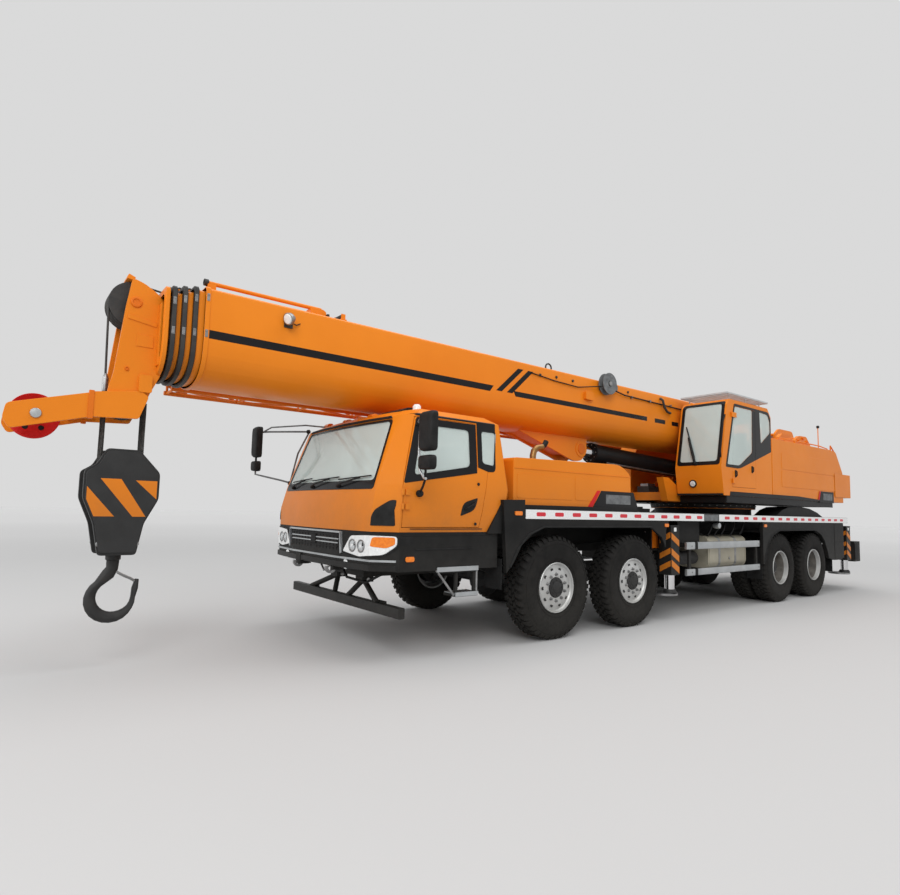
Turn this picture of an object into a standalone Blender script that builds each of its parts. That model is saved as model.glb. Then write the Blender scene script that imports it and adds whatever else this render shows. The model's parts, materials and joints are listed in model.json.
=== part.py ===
"""Four-axle truck crane with a telescopic boom, modelled at full size in metres.

+X points forward, +Y to the crane's left and +Z up.  The ground is z = 0.
Lengths along X are given from the front axle and shifted so that the middle of
the whole crane stands at x = 0.
"""
import math

import bmesh
import bpy
from mathutils import Matrix, Vector

# ---------------------------------------------------------------- sizes
FRONT_AXLE_X = 2.145
GAP = 0.0003

TYRE_R = 0.60
TYRE_FACE_Y = 1.38
RIM_R = 0.29
WHEEL_STEPS = 24
AXLE_Z = TYRE_R * math.cos(math.pi / WHEEL_STEPS)
FRONT_AXLES = (0.0, -1.48)
REAR_MID = -6.47
REAR_AXLES = (REAR_MID + TYRE_R + 0.10, REAR_MID - TYRE_R - 0.10)
GUARD_REAR = REAR_AXLES[0] + TYRE_R + 0.16
KINGPIN_Y = 0.98
SPRING_HALF = 0.62

FRAME_HALF_W = 0.42
FRAME_Z = (AXLE_Z + 0.3251, 1.455)
DECK_Z = (1.46, 1.495)
BODY_HALF_W = 1.38

CAB_FLOOR_Z = 1.24
CAB_WALL = 0.05

SLEW_X = -5.60
TURNTABLE_R = 0.93
BOOM_FOOT = (-7.00, 2.95)
BARREL_R = 0.15
ROD_R = 0.09

BOOM_HALF_W = 0.46
BOOM_Z = (2.60, 3.49)
LUFF_LOWER = (-5.10, BOOM_Z[0] - BARREL_R - 0.15)
LUFF_UPPER = (-1.85, BOOM_Z[0] - BARREL_R)
BOOM_WALL = 0.018
BOOM_CLEAR = 0.010
BOOM_FRONTS = (3.83, 3.93, 4.02, 4.105, 4.16)
BOOM_REARS = (-6.72, -6.40, -6.34, -6.28, -6.22)

HEAD_SHEAVE = (4.36, 3.28, 0.21)
LOWER_SHEAVE = (4.37, 2.38, 0.15)
BLOCK_SHEAVE_Z = 1.55
ROPE_T = 0.03
NOSE_SHEAVE = (5.04, 2.18, 0.19)

OUTRIGGER_X = (-2.455, -8.90)
BEAM_OFFSET = 0.115
BEAM_W = 0.19
BEAM_Z = (0.985, 1.245)
JACK_Y = 1.275
FOOT_Z = 0.33

CAB_HINGE = (2.158, 1.3453)
OP_HINGE = (-4.13, 1.3753)
OP_CAB_Y = (0.56, 1.36)
OP_CAB_WALL = 0.045


# ---------------------------------------------------------------- scene
for leftover in list(bpy.data.objects):
    bpy.data.objects.remove(leftover, do_unlink=True)

crane = bpy.data.collections.new("Mobile crane")
bpy.context.scene.collection.children.link(crane)
tools = bpy.data.collections.new("Cutters")
bpy.context.scene.collection.children.link(tools)


def material(name, colour, rough, metal=0.0, alpha=1.0):
    mat = bpy.data.materials.new(name)
    mat.use_nodes = True
    shader = mat.node_tree.nodes["Principled BSDF"]
    shader.inputs["Base Color"].default_value = (*colour, 1.0)
    shader.inputs["Roughness"].default_value = rough
    shader.inputs["Metallic"].default_value = metal
    shader.inputs["Alpha"].default_value = alpha
    return mat


ORANGE = (0.80, 0.27, 0.02)
BLACK = (0.02, 0.02, 0.02)
GREY = (0.12, 0.12, 0.12)
STEEL = (0.45, 0.45, 0.45)
SILVER = (0.62, 0.64, 0.66)
RED = (0.65, 0.03, 0.03)
GLASS = (0.55, 0.65, 0.62)
BEIGE = (0.62, 0.58, 0.48)
TRIM = (0.05, 0.05, 0.055)
RUBBER = (0.025, 0.025, 0.025)


# ---------------------------------------------------------------- shapes
def mesh_object(name, points, faces, collection=tools):
    """A closed mesh; points are (x from the front axle, y, z)."""
    bm = bmesh.new()
    verts = [bm.verts.new((x + FRONT_AXLE_X, y, z)) for x, y, z in points]
    for face in faces:
        bm.faces.new([verts[i] for i in face])
    bmesh.ops.recalc_face_normals(bm, faces=bm.faces)
    mesh = bpy.data.meshes.new(name)
    bm.to_mesh(mesh)
    bm.free()
    obj = bpy.data.objects.new(name, mesh)
    collection.objects.link(obj)
    return obj


def loft(name, rings):
    """Skin between rings that all have the same number of points."""
    count = len(rings[0])
    points = [p for ring in rings for p in ring]
    faces = [list(range(count))[::-1]]
    for level in range(len(rings) - 1):
        low = level * count
        for i in range(count):
            j = (i + 1) % count
            faces.append([low + i, low + j, low + count + j, low + count + i])
    top = (len(rings) - 1) * count
    faces.append([top + i for i in range(count)])
    return mesh_object(name, points, faces)


def box(name, x, y, z):
    low = [(x[0], y[0], z[0]), (x[1], y[0], z[0]), (x[1], y[1], z[0]), (x[0], y[1], z[0])]
    high = [(px, py, z[1]) for px, py, _ in low]
    return loft(name, [low, high])


def prism_y(name, outline, y):
    """An outline of (x, z) points given thickness along Y."""
    return loft(name, [[(px, side, pz) for px, pz in outline] for side in y])


def prism_x(name, outline, x):
    """An outline of (y, z) points given length along X."""
    return loft(name, [[(side, py, pz) for py, pz in outline] for side in x])


def prism_z(name, outline, z):
    """An outline of (x, y) points given height along Z."""
    return loft(name, [[(px, py, side) for px, py in outline] for side in z])


def arc(centre, radius, start, end, steps):
    """Points on a circle, angles in degrees."""
    found = []
    for i in range(steps + 1):
        angle = math.radians(start + (end - start) * i / steps)
        found.append((centre[0] + radius * math.cos(angle), centre[1] + radius * math.sin(angle)))
    return found


def disc_y(name, centre, radius, y, steps=24):
    """A cylinder along Y around the point (x, z)."""
    return prism_y(name, arc(centre, radius, 0, 360 - 360 / steps, steps - 1), y)


def disc_x(name, centre, radius, x, steps=24):
    """A cylinder along X around the point (y, z)."""
    return prism_x(name, arc(centre, radius, 0, 360 - 360 / steps, steps - 1), x)


def disc_z(name, centre, radius, z, steps=24):
    """A cylinder along Z around the point (x, y)."""
    return prism_z(name, arc(centre, radius, 0, 360 - 360 / steps, steps - 1), z)


def rod(name, start, end, radius, steps=8):
    """A round bar between two points."""
    axis = (Vector(end) - Vector(start)).normalized()
    side = axis.orthogonal().normalized()
    other = axis.cross(side)
    rings = []
    for centre in (Vector(start), Vector(end)):
        ring = []
        for i in range(steps):
            angle = 2 * math.pi * i / steps
            p = centre + side * (radius * math.cos(angle)) + other * (radius * math.sin(angle))
            ring.append(tuple(p))
        rings.append(ring)
    return loft(name, rings)


def turned(name, profile, centre, direction, steps=24):
    """A profile of (radius, distance) turned around a line.

    A profile that starts and ends on the line closes itself there; any other
    profile is a closed loop around a bore.
    """
    axis = Vector(direction).normalized()
    side = axis.orthogonal().normalized()
    other = axis.cross(side)
    closed = profile[0][0] > 0
    points = []
    rings = []
    for radius, along in profile:
        base = Vector(centre) + axis * along
        if radius == 0:
            rings.append([len(points)] * steps)
            points.append(tuple(base))
            continue
        ring = []
        for i in range(steps):
            angle = 2 * math.pi * (i + 0.5) / steps
            ring.append(len(points))
            p = base + side * (radius * math.cos(angle)) + other * (radius * math.sin(angle))
            points.append(tuple(p))
        rings.append(ring)
    faces = []
    pairs = list(zip(rings, rings[1:]))
    if closed:
        pairs.append((rings[-1], rings[0]))
    for first, second in pairs:
        for i in range(steps):
            j = (i + 1) % steps
            face = []
            for index in (first[i], first[j], second[j], second[i]):
                if index not in face:
                    face.append(index)
            faces.append(face)
    return mesh_object(name, points, faces)


def mirrored(points):
    """The outline's right-hand half added to its left-hand half, (x, y) points."""
    return points + [(px, -py) for px, py in reversed(points) if py != 0]


def modify(obj, other, operation):
    """One exact Boolean step; the other solid is kept as a cutter."""
    step = obj.modifiers.new(other.name, "BOOLEAN")
    step.operation = operation
    step.solver = "EXACT"
    step.object = other
    other.hide_render = True
    other.display_type = "WIRE"


def piece(name, base, colour, rough, metal=0.0, add=(), cut=(), keep=(), origin=None, alpha=1.0):
    """Name a sub-part, join and cut its solids, and set its origin and material."""
    tools.objects.unlink(base)
    crane.objects.link(base)
    base.name = name
    base.data.name = name
    for other in add:
        modify(base, other, "UNION")
    for other in cut:
        modify(base, other, "DIFFERENCE")
    for other in keep:
        modify(base, other, "INTERSECT")
    base.data.materials.append(material(name, colour, rough, metal, alpha))
    if origin is not None:
        place = Vector((origin[0] + FRONT_AXLE_X, origin[1], origin[2]))
        base.data.transform(Matrix.Translation(-place))
        base.location = place
    return base


# ---------------------------------------------------------------- wheels
def single_wheel(name, axle_x, side):
    """Steered wheel: one tyre on a flat-faced rim with a closed hub."""
    face = TYRE_FACE_Y
    profile = [
        (0.0, face - 0.005),
        (0.10, face - 0.008),
        (0.13, face - 0.05),
        (0.24, face - 0.07),
        (RIM_R - 0.01, face - 0.02),
        (0.45, face),
        (TYRE_R, face - 0.05),
        (TYRE_R, face - 0.27),
        (0.45, face - 0.32),
        (RIM_R - 0.02, face - 0.30),
        (0.25, face - 0.16),
        (0.0603, face - 0.15),
        (0.0603, face - 0.10),
        (0.0, face - 0.10),
    ]
    profile = [(r, y * side) for r, y in profile]
    body = turned(name, profile, (axle_x, 0.0, AXLE_Z), (0, 1, 0), WHEEL_STEPS)
    return piece(name, body, RUBBER, 0.8, origin=(axle_x, side * (face - 0.16), AXLE_Z))


def twin_wheel(name, axle_x, side):
    """Two tyres on one deep-dished rim, turning as one."""
    face = TYRE_FACE_Y
    profile = [
        (0.0, face - 0.11),
        (0.11, face - 0.11),
        (0.12, face - 0.31),
        (0.25, face - 0.32),
        (RIM_R - 0.02, face - 0.02),
        (0.45, face),
        (TYRE_R, face - 0.05),
        (TYRE_R, face - 0.28),
        (0.37, face - 0.335),
        (TYRE_R, face - 0.39),
        (TYRE_R, face - 0.62),
        (0.45, face - 0.67),
        (RIM_R - 0.02, face - 0.65),
        (0.25, face - 0.40),
        (0.0603, face - 0.40),
        (0.0603, face - 0.16),
        (0.0, face - 0.16),
    ]
    profile = [(r, y * side) for r, y in profile]
    body = turned(name, profile, (axle_x, 0.0, AXLE_Z), (0, 1, 0), WHEEL_STEPS)
    return piece(name, body, RUBBER, 0.8, origin=(axle_x, side * (face - 0.335), AXLE_Z))


def knuckle(name, axle_x, side):
    """Steering knuckle: a fork on the kingpin, with brake drum and stub axle."""
    z = AXLE_Z
    outer = TYRE_FACE_Y
    y0 = side * (KINGPIN_Y - 0.05)
    y1 = side * 1.075
    base = box(name, (axle_x - 0.06, axle_x + 0.06), sorted((side * 1.045, y1)), (z - 0.15, z + 0.15))
    top = box(name + " top", (axle_x - 0.05, axle_x + 0.05), sorted((y0, side * 1.05)), (z + 0.10, z + 0.145))
    low = box(name + " low", (axle_x - 0.05, axle_x + 0.05), sorted((y0, side * 1.05)), (z - 0.145, z - 0.10))
    pin = disc_z(name + " pin", (axle_x, side * KINGPIN_Y), 0.028, (z - 0.16, z + 0.16), 24)
    drum_y = sorted((side * 1.07, side * (outer - 0.185)))
    drum = disc_y(name + " drum", (axle_x, z), 0.20, drum_y, 20)
    stub = disc_y(name + " stub", (axle_x, z), 0.0592, sorted((side * 1.1, side * (outer - 0.105))), 24)
    return piece(
        name, base, GREY, 0.6, 0.4,
        add=(top, low, pin, drum, stub),
        origin=(axle_x, side * KINGPIN_Y, z),
    )


def spring(name, axle_x, side, y, z):
    """A leaf pack over one axle end."""
    outline = [
        (axle_x - SPRING_HALF, z + 0.20),
        (axle_x - 0.30, z + 0.10),
        (axle_x + 0.30, z + 0.10),
        (axle_x + SPRING_HALF, z + 0.20),
        (axle_x + SPRING_HALF, z + 0.26),
        (axle_x + 0.30, z + 0.19),
        (axle_x - 0.30, z + 0.19),
        (axle_x - SPRING_HALF, z + 0.26),
    ]
    return prism_y(name, outline, sorted((side * (y - 0.045), side * (y + 0.045))))


def lever_span(axles):
    """Ends of a rocking lever, which overlaps the springs on both sides of it."""
    mid = (axles[0] + axles[1]) / 2
    half = (axles[0] - axles[1]) / 2 - SPRING_HALF + 0.12
    return (mid - half, mid + half)


def front_axle_set():
    """Both steered axle beams, joined by their springs and rocking levers."""
    z = AXLE_Z
    parts = []
    cuts = []
    base = None
    for axle_x in FRONT_AXLES:
        tube = disc_y("axle tube", (axle_x, z), 0.075, (-0.95, 0.95), 14)
        if base is None:
            base = tube
        else:
            parts.append(tube)
        parts.append(turned(
            "axle bowl", [(0, -0.24), (0.19, -0.12), (0.22, 0.05), (0, 0.24)],
            (axle_x + 0.011, 0.12, z - 0.013), (0, 1, 0), 12,
        ))
        for side in (1, -1):
            centre = (axle_x, side * KINGPIN_Y)
            parts.append(disc_z("kingpin eye", centre, 0.055, (z - 0.0997, z + 0.0997), 14))
            cuts.append(disc_z("kingpin bore", centre, 0.0287, (z - 0.2, z + 0.2), 24))
            parts.append(spring("front spring", axle_x, side, 0.52, z))
            pad = sorted((side * 0.47, side * 0.57))
            parts.append(box("spring pad", (axle_x - 0.09, axle_x + 0.09), pad, (z + 0.02, z + 0.15)))
    for side in (1, -1):
        lever = sorted((side * 0.48, side * 0.56))
        parts.append(box("rocking lever", lever_span(FRONT_AXLES), lever, (z + 0.21, z + 0.3247)))
    return piece("front_axles", base, GREY, 0.6, 0.3, add=parts, cut=cuts)


def rear_axle_set():
    """Both driven axles, joined by their springs and rocking levers."""
    z = AXLE_Z
    parts = []
    base = None
    for axle_x in REAR_AXLES:
        tube = disc_y("axle tube", (axle_x, z), 0.09, (-0.76, 0.76), 14)
        if base is None:
            base = tube
        else:
            parts.append(tube)
        parts.append(turned(
            "axle bowl", [(0, -0.24), (0.22, -0.10), (0.24, 0.05), (0, 0.24)],
            (axle_x + 0.011, -0.10, z - 0.013), (0, 1, 0), 12,
        ))
        for side in (1, -1):
            drum = sorted((side * 0.74, side * 0.95))
            parts.append(disc_y("rear drum", (axle_x, z), 0.19, drum, 16))
            parts.append(disc_y("rear stub", (axle_x, z), 0.0592, sorted((side * 0.9, side * 1.21)), 24))
            parts.append(spring("rear spring", axle_x, side, 0.50, z))
            pad = sorted((side * 0.45, side * 0.55))
            parts.append(box("spring pad", (axle_x - 0.09, axle_x + 0.09), pad, (z + 0.02, z + 0.15)))
    for side in (1, -1):
        lever = sorted((side * 0.46, side * 0.54))
        parts.append(box("rocking lever", lever_span(REAR_AXLES), lever, (z + 0.21, z + 0.3247)))
    return piece("rear_axles", base, GREY, 0.6, 0.3, add=parts)


# ---------------------------------------------------------------- carrier
def carrier_frame():
    """Chassis beam with outrigger boxes, spring hangers and slewing ring base."""
    base = box("frame", (-9.10, 0.62), (-FRAME_HALF_W, FRAME_HALF_W), FRAME_Z)
    parts = [
        box("frame nose", (0.50, 2.02), (-0.40, 0.40), (0.72, 1.10)),
        box("frame drop", (0.45, 0.70), (-0.41, 0.41), (0.80, 1.40)),
        box("cab mount", (1.55, 1.80), (-0.35, 0.35), (1.05, CAB_FLOOR_Z - GAP)),
        disc_z("ring base", (SLEW_X, 0.0), 0.86, (1.44, 1.60), 32),
        box("rear cross member", (-9.30, -9.05), (-0.42, 0.42), (0.80, 1.20)),
        box("rear bumper", (-9.55, -9.22), (-1.30, 1.30), (0.62, 0.80)),
        box("rear lamp left", (-9.55, -9.24), (1.10, 1.36), (0.58, 1.00)),
        box("rear lamp right", (-9.55, -9.24), (-1.36, -1.10), (0.58, 1.00)),
    ]
    cuts = []
    for centre in OUTRIGGER_X:
        parts.append(box("outrigger box", (centre - 0.24, centre + 0.24), (-1.14, 1.14), (0.955, 1.285)))
        for side in (1, -1):
            x = centre - side * BEAM_OFFSET
            half = BEAM_W / 2 + 0.006
            height = (BEAM_Z[0] - GAP, BEAM_Z[1] + 0.006)
            cuts.append(box("beam way", (x - half, x + half), (-1.5, 1.5), height))
    hangers = (
        (FRONT_AXLES[0] + SPRING_HALF, 0.52),
        ((FRONT_AXLES[0] + FRONT_AXLES[1]) / 2, 0.52),
        (FRONT_AXLES[1] - SPRING_HALF, 0.52),
        (REAR_AXLES[0] + SPRING_HALF, 0.50),
        ((REAR_AXLES[0] + REAR_AXLES[1]) / 2, 0.50),
        (REAR_AXLES[1] - SPRING_HALF, 0.50),
    )
    for x, y in hangers:
        for side in (1, -1):
            wide = sorted((side * 0.38, side * (y + 0.045)))
            middle = abs(x - (FRONT_AXLES[0] + FRONT_AXLES[1]) / 2) < 0.01
            middle = middle or abs(x - (REAR_AXLES[0] + REAR_AXLES[1]) / 2) < 0.01
            low = AXLE_Z + 0.325 if middle else AXLE_Z + 0.2603
            parts.append(box("hanger", (x - 0.05, x + 0.05), wide, (low, 1.10)))
    return piece("carrier_frame", base, BLACK, 0.55, 0.2, add=parts, cut=cuts)


def side_outline():
    """The carrier's side skirt seen from the side, with both wheel arches."""
    return [
        (0.55, DECK_Z[1]),
        (0.55, 1.60),
        (0.88, 1.59),
        (0.82, 0.80),
        (0.72, 0.90),
        (0.59, 1.10),
        (0.42, 1.22),
        (0.20, 1.30),
        (-1.88, 1.30),
        (-2.12, 1.16),
        (-2.20, 1.01),
        (-2.22, 1.26),
        (-2.29, 1.385),
        (-5.10, 1.385),
        (-5.10, 0.68),
        (-5.145, 0.68),
        (-5.19, 0.84),
        (-5.30, 1.03),
        (-5.46, 1.16),
        (-5.72, 1.24),
        (-7.22, 1.24),
        (-7.48, 1.16),
        (-7.64, 1.03),
        (-7.76, 0.84),
        (-7.83, 0.70),
        (-8.13, 0.65),
        (-8.52, 0.65),
        (-8.60, 1.385),
        (-8.85, 1.385),
        (-8.85, DECK_Z[1]),
    ]


def deck():
    """Walkway plate with its side skirts and the rear wheel covers."""
    base = box("deck", (-8.85, 0.55), (-1.36, 1.36), DECK_Z)
    parts = []
    for side in (1, -1):
        wide = sorted((side * 1.33, side * BODY_HALF_W))
        parts.append(prism_y("skirt", side_outline(), wide))
        hump = [
            (-5.75, 1.48),
            (-6.02, 1.60),
            (-6.30, 1.66),
            (-6.76, 1.68),
            (-7.20, 1.65),
            (-7.55, 1.58),
            (-7.85, 1.48),
        ]
        parts.append(prism_y("wheel cover", hump, sorted((side * 0.90, side * 1.30))))
    cuts = [
        disc_z("ring hole", (SLEW_X, 0.0), 0.8603, (1.2, 1.9), 32),
        box("engine hole", (-1.36, 0.62), (-0.55, 0.55), (1.2, 1.9)),
    ]
    for axle_x in FRONT_AXLES + REAR_AXLES:
        cuts.append(disc_y("wheel room", (axle_x, AXLE_Z), TYRE_R + 0.024, (-1.5, 1.5), 48))
    return piece("deck", base, BLACK, 0.6, add=parts, cut=cuts)


CAB_RINGS = (
    # height, rear x, rear y, side y, pillar x, corner (x, y), brow (x, y), nose x
    (1.240, 0.80, 1.25, 1.310, 2.17, (2.37, 1.12), (2.43, 0.55), 2.45),
    (1.450, 0.76, 1.28, 1.330, 2.17, (2.37, 1.12), (2.43, 0.55), 2.45),
    (1.700, 0.72, 1.28, 1.330, 2.14, (2.31, 1.10), (2.36, 0.55), 2.38),
    (2.420, 0.81, 1.20, 1.265, 1.97, (2.05, 1.04), (2.10, 0.55), 2.12),
    (2.500, 0.92, 1.08, 1.140, 1.84, (1.90, 0.92), (1.94, 0.50), 1.96),
)


def cab_solid(name, inset):
    """The cab's outer form, pulled in on every side by the inset."""
    rings = []
    for level, row in enumerate(CAB_RINGS):
        z, rear, rear_y, side_y, pillar, corner, brow, nose = row
        if level == 0:
            z += inset
        if level == len(CAB_RINGS) - 1:
            z -= inset
        half = [
            (rear + inset, 0.0),
            (rear + inset, rear_y - inset),
            (rear + inset + 0.06, side_y - inset),
            (pillar - inset * 0.4, side_y - inset),
            (corner[0] - inset, corner[1] - inset * 0.6),
            (brow[0] - inset, brow[1]),
            (nose - inset, 0.0),
        ]
        outline = half + [(px, -py) for px, py in reversed(half[1:-1])]
        rings.append([(px, py, z) for px, py in outline])
    return loft(name, rings)


def door_outline(shrink):
    """Cab door seen from the side, pulled in by a small gap."""
    return [
        (2.150 - shrink, 1.285 + shrink),
        (2.150 - shrink, 1.690),
        (1.985 - shrink, 2.395 - shrink),
        (1.200 + shrink, 2.395 - shrink),
        (1.200 + shrink, 1.930),
        (1.050 + shrink, 1.890),
        (1.170 + shrink, 1.285 + shrink),
    ]


def windscreen_outline(shrink):
    half = [(1.06 - shrink, 1.665 + shrink), (0.98 - shrink, 2.375 - shrink)]
    return half + [(-py, pz) for py, pz in reversed(half)]


def cab_shell():
    base = cab_solid("cab", 0.0)
    cuts = [cab_solid("cab inside", CAB_WALL)]
    for side in (1, -1):
        wide = sorted((side * 1.0, side * 1.5))
        cuts.append(prism_y("door way", door_outline(0.0), wide))
        quarter = [(1.14, 1.96), (0.95, 1.93), (0.91, 2.37), (1.14, 2.37)]
        cuts.append(prism_y("quarter light", quarter, wide))
    cuts.append(prism_x("windscreen way", windscreen_outline(0.0), (1.5, 2.7)))
    cuts.append(box("rear light", (0.6, 1.0), (-0.55, 0.55), (1.95, 2.30)))
    return piece("cab_shell", base, ORANGE, 0.35, 0.1, cut=cuts)


def cab_door(name, side):
    """One door, cut from the cab's own wall."""
    base = cab_solid(name, 0.0)
    inside = cab_solid(name + " inside", CAB_WALL)
    panel = prism_y(name + " edge", door_outline(0.006), sorted((side * 1.1, side * 1.5)))
    pane = [(2.06, 1.78), (1.93, 2.33), (1.29, 2.33), (1.29, 1.92)]
    window = prism_y(name + " window", pane, sorted((side * 1.0, side * 1.6)))
    piece(name, base, ORANGE, 0.35, 0.1, cut=(inside, window), keep=(panel,), origin=(*CAB_HINGE, 1.24) if side > 0
          else (CAB_HINGE[0], -CAB_HINGE[1], 1.24))
    for low in (1.46, 1.60):
        height = (low, low + 0.06)
        wide = sorted((side * 1.31, side * 1.3553))
        modify(base, box("hinge leaf", (2.08, 2.13), wide, height), "UNION")
        wide = sorted((side * 1.3313, side * 1.3553))
        modify(base, box("hinge strap", (2.12, CAB_HINGE[0]), wide, height), "UNION")
        centre = (CAB_HINGE[0], side * CAB_HINGE[1])
        modify(base, disc_z("hinge barrel", centre, 0.0146, height, 12), "UNION")
    return base


def windscreen():
    base = cab_solid("windscreen", 0.004)
    inside = cab_solid("windscreen inside", 0.018)
    pane = prism_x("windscreen edge", windscreen_outline(GAP), (1.75, 2.7))
    return piece("windscreen", base, GLASS, 0.05, alpha=0.4, cut=(inside,), keep=(pane,))


def cab_interior():
    """Floor plinth, dashboard and both seats."""
    floor = CAB_FLOOR_Z + CAB_WALL
    base = box("cab interior", (0.95, 2.10), (-1.0, 1.0), (floor + GAP, floor + 0.06))
    parts = [
        box("dash", (1.90, 2.24), (-1.0, 1.0), (floor + 0.03, 1.63)),
        box("tunnel", (1.00, 1.95), (-0.25, 0.25), (floor + 0.03, 1.58)),
    ]
    for y in (0.66, -0.66):
        parts.append(box("seat base", (1.15, 1.60), (y - 0.22, y + 0.22), (floor + 0.03, 1.66)))
        back = [(1.17, 1.60), (1.32, 1.62), (1.20, 2.22), (1.08, 2.22)]
        parts.append(prism_y("seat back", back, (y - 0.21, y + 0.21)))
        wheel = [(1.78, 1.86), (1.88, 1.74), (1.86, 1.71), (1.74, 1.84)]
        if y > 0:
            parts.append(prism_y("steering wheel", wheel, (y - 0.21, y + 0.21)))
            parts.append(rod("steering column", (1.95, y, 1.60), (1.81, y, 1.78), 0.03))
    return piece("cab_interior", base, TRIM, 0.7, add=parts)


def front_fascia():
    """Lower black panel with bumper, side returns and entry steps."""
    outer = mirrored([(0.90, 1.31), (2.16, 1.31), (2.37, 1.12), (2.43, 0.55)])
    inner = mirrored([(0.80, 1.24), (2.12, 1.24), (2.30, 1.08), (2.35, 0.53)])
    base = prism_z("fascia", outer, (0.86, CAB_FLOOR_Z - GAP))
    parts = [
        box("fascia brace", (1.98, 2.40), (-0.30, 0.30), (0.90, 1.08)),
        box("tow eye", (2.34, 2.45), (-0.42, -0.30), (0.82, 0.95)),
    ]
    cuts = [
        prism_z("fascia inside", inner, (0.5, 1.5)),
    ]
    for side in (1, -1):
        wide = sorted((side * 1.10, side * 1.31))
        parts.append(box("upper step", (1.18, 1.70), wide, (0.83, 0.87)))
        parts.append(box("lower step", (1.18, 1.46), wide, (0.58, 0.61)))
        for x in (1.19, 1.43):
            parts.append(box("step leg", (x, x + 0.03), sorted((side * 1.27, side * 1.30)), (0.59, 0.90)))
    piece("front_fascia", base, BLACK, 0.5, add=(), cut=cuts)
    for other in parts:
        modify(base, other, "UNION")
    modify(base, box("nose clearance", (0.4, 2.0203), (-0.4003, 0.4003), (0.7, 1.12)), "DIFFERENCE")
    return base


def underrun_bar():
    base = box("underrun bar", (2.03, 2.11), (-1.246, 1.246), (0.40, 0.51))
    parts = []
    for side in (1, -1):
        parts.append(rod("strut", (2.07, side * 0.75, 0.46), (1.96, side * 0.30, 0.68), 0.035))
        parts.append(rod("strut", (2.07, side * 0.20, 0.46), (1.96, side * 0.30, 0.68), 0.035))
        parts.append(box("strut foot", (1.88, 2.02), sorted((side * 0.22, side * 0.38)), (0.66, 0.7197)))
    return piece("underrun_bar", base, BLACK, 0.5, 0.3, add=parts)


def engine_cover():
    """Hood over the engine, open below."""
    def outline(inset):
        return [
            (-1.54 + inset, DECK_Z[1] + GAP - (0.1 if inset else 0.0)),
            (0.66 - inset, DECK_Z[1] + GAP - (0.1 if inset else 0.0)),
            (0.66 - inset, 2.08 - inset),
            (-1.30 + inset, 2.12 - inset),
            (-1.52 + inset, 2.00 - inset),
        ]
    base = prism_y("engine cover", outline(0.0), (-1.30, 1.30))
    inside = prism_y("engine cover inside", outline(0.04), (-1.26, 1.26))
    return piece("engine_cover", base, ORANGE, 0.35, 0.1, cut=(inside,))


def engine():
    return piece("engine", box("engine", (-1.20, 0.35), (-0.40, 0.40), (FRAME_Z[1] + GAP, 1.98)), GREY, 0.6, 0.3)


def fuel_tank():
    """Round-cornered tank on the left, hung from the frame."""
    outline = arc((0.80, 1.05), 0.10, 90, 180, 3) + arc((0.80, 0.76), 0.10, 180, 270, 3)
    outline += arc((1.15, 0.76), 0.10, 270, 360, 3) + arc((1.15, 1.05), 0.10, 0, 90, 3)
    base = prism_x("fuel tank", outline, (GUARD_REAR + 0.25, -3.56))
    shelf = [box("tank bracket", (x - 0.04, x + 0.04), (FRAME_HALF_W + GAP, 0.75), (0.95, 1.10)) for x in (-3.9, -4.4)]
    return piece("fuel_tank", base, BEIGE, 0.45, 0.3, add=shelf)


def tool_box():
    """Locker on the right, hung from the frame."""
    base = box("tool box", (GUARD_REAR + 0.25, -3.56), (-1.25, -0.70), (0.66, 1.15))
    shelf = [
        box("box bracket", (x - 0.04, x + 0.04), (-0.75, -FRAME_HALF_W - GAP), (0.95, 1.10)) for x in (-3.9, -4.4)
    ]
    return piece("tool_box", base, BLACK, 0.5, 0.1, add=shelf)


def side_guard(name, side):
    """Two rails on three posts that reach back to the frame."""
    wide = sorted((side * 1.33, side * 1.37))
    base = box(name, (GUARD_REAR, -2.76), wide, (0.97, 1.08))
    parts = [box(name + " low rail", (GUARD_REAR, -2.76), wide, (0.59, 0.69))]
    for x in (-2.90, GUARD_REAR + 0.06):
        parts.append(box(name + " post", (x - 0.03, x + 0.03), sorted((side * 1.30, side * 1.36)), (0.60, 1.07)))
        arm = sorted((side * (FRAME_HALF_W + GAP), side * 1.34))
        parts.append(box(name + " arm", (x - 0.03, x + 0.03), arm, (1.00, 1.06)))
    return piece(name, base, SILVER, 0.4, 0.7, add=parts)


def mirror(name, side):
    """Two mirror heads on a bent tube arm."""
    parts = []
    if side > 0:
        base = box(name, (2.09, 2.17), (1.57, 1.80), (2.00, 2.38))
        parts.append(box(name + " low", (2.09, 2.17), (1.57, 1.79), (1.83, 1.97)))
        parts.append(rod(name + " arm", (2.13, 1.66, 2.34), (2.13, 1.66, 1.70), 0.014))
        parts.append(rod(name + " top", (2.13, 1.66, 2.33), (1.97, 1.295, 2.33), 0.014))
        parts.append(rod(name + " foot", (2.13, 1.66, 1.72), (1.97, 1.35, 1.62), 0.014))
        parts.append(disc_y(name + " pad", (1.97, 1.62), 0.035, (1.3303, 1.365), 12))
    else:
        base = box(name, (2.47, 2.56), (-1.80, -1.60), (2.10, 2.52))
        parts.append(box(name + " low", (2.47, 2.56), (-1.79, -1.62), (1.92, 2.06)))
        parts.append(rod(name + " arm", (2.515, -1.70, 2.45), (2.515, -1.70, 1.88), 0.014))
        parts.append(rod(name + " top", (2.515, -1.70, 2.44), (2.06, -1.05, 2.44), 0.014))
        parts.append(rod(name + " foot", (2.515, -1.70, 1.89), (2.2320, -1.2272, 1.7663), 0.014))
        parts.append(rod(name + " pad", (2.2391, -1.2322, 1.7689), (2.2070, -1.20943, 1.75732), 0.03))
    return base, parts


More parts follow.
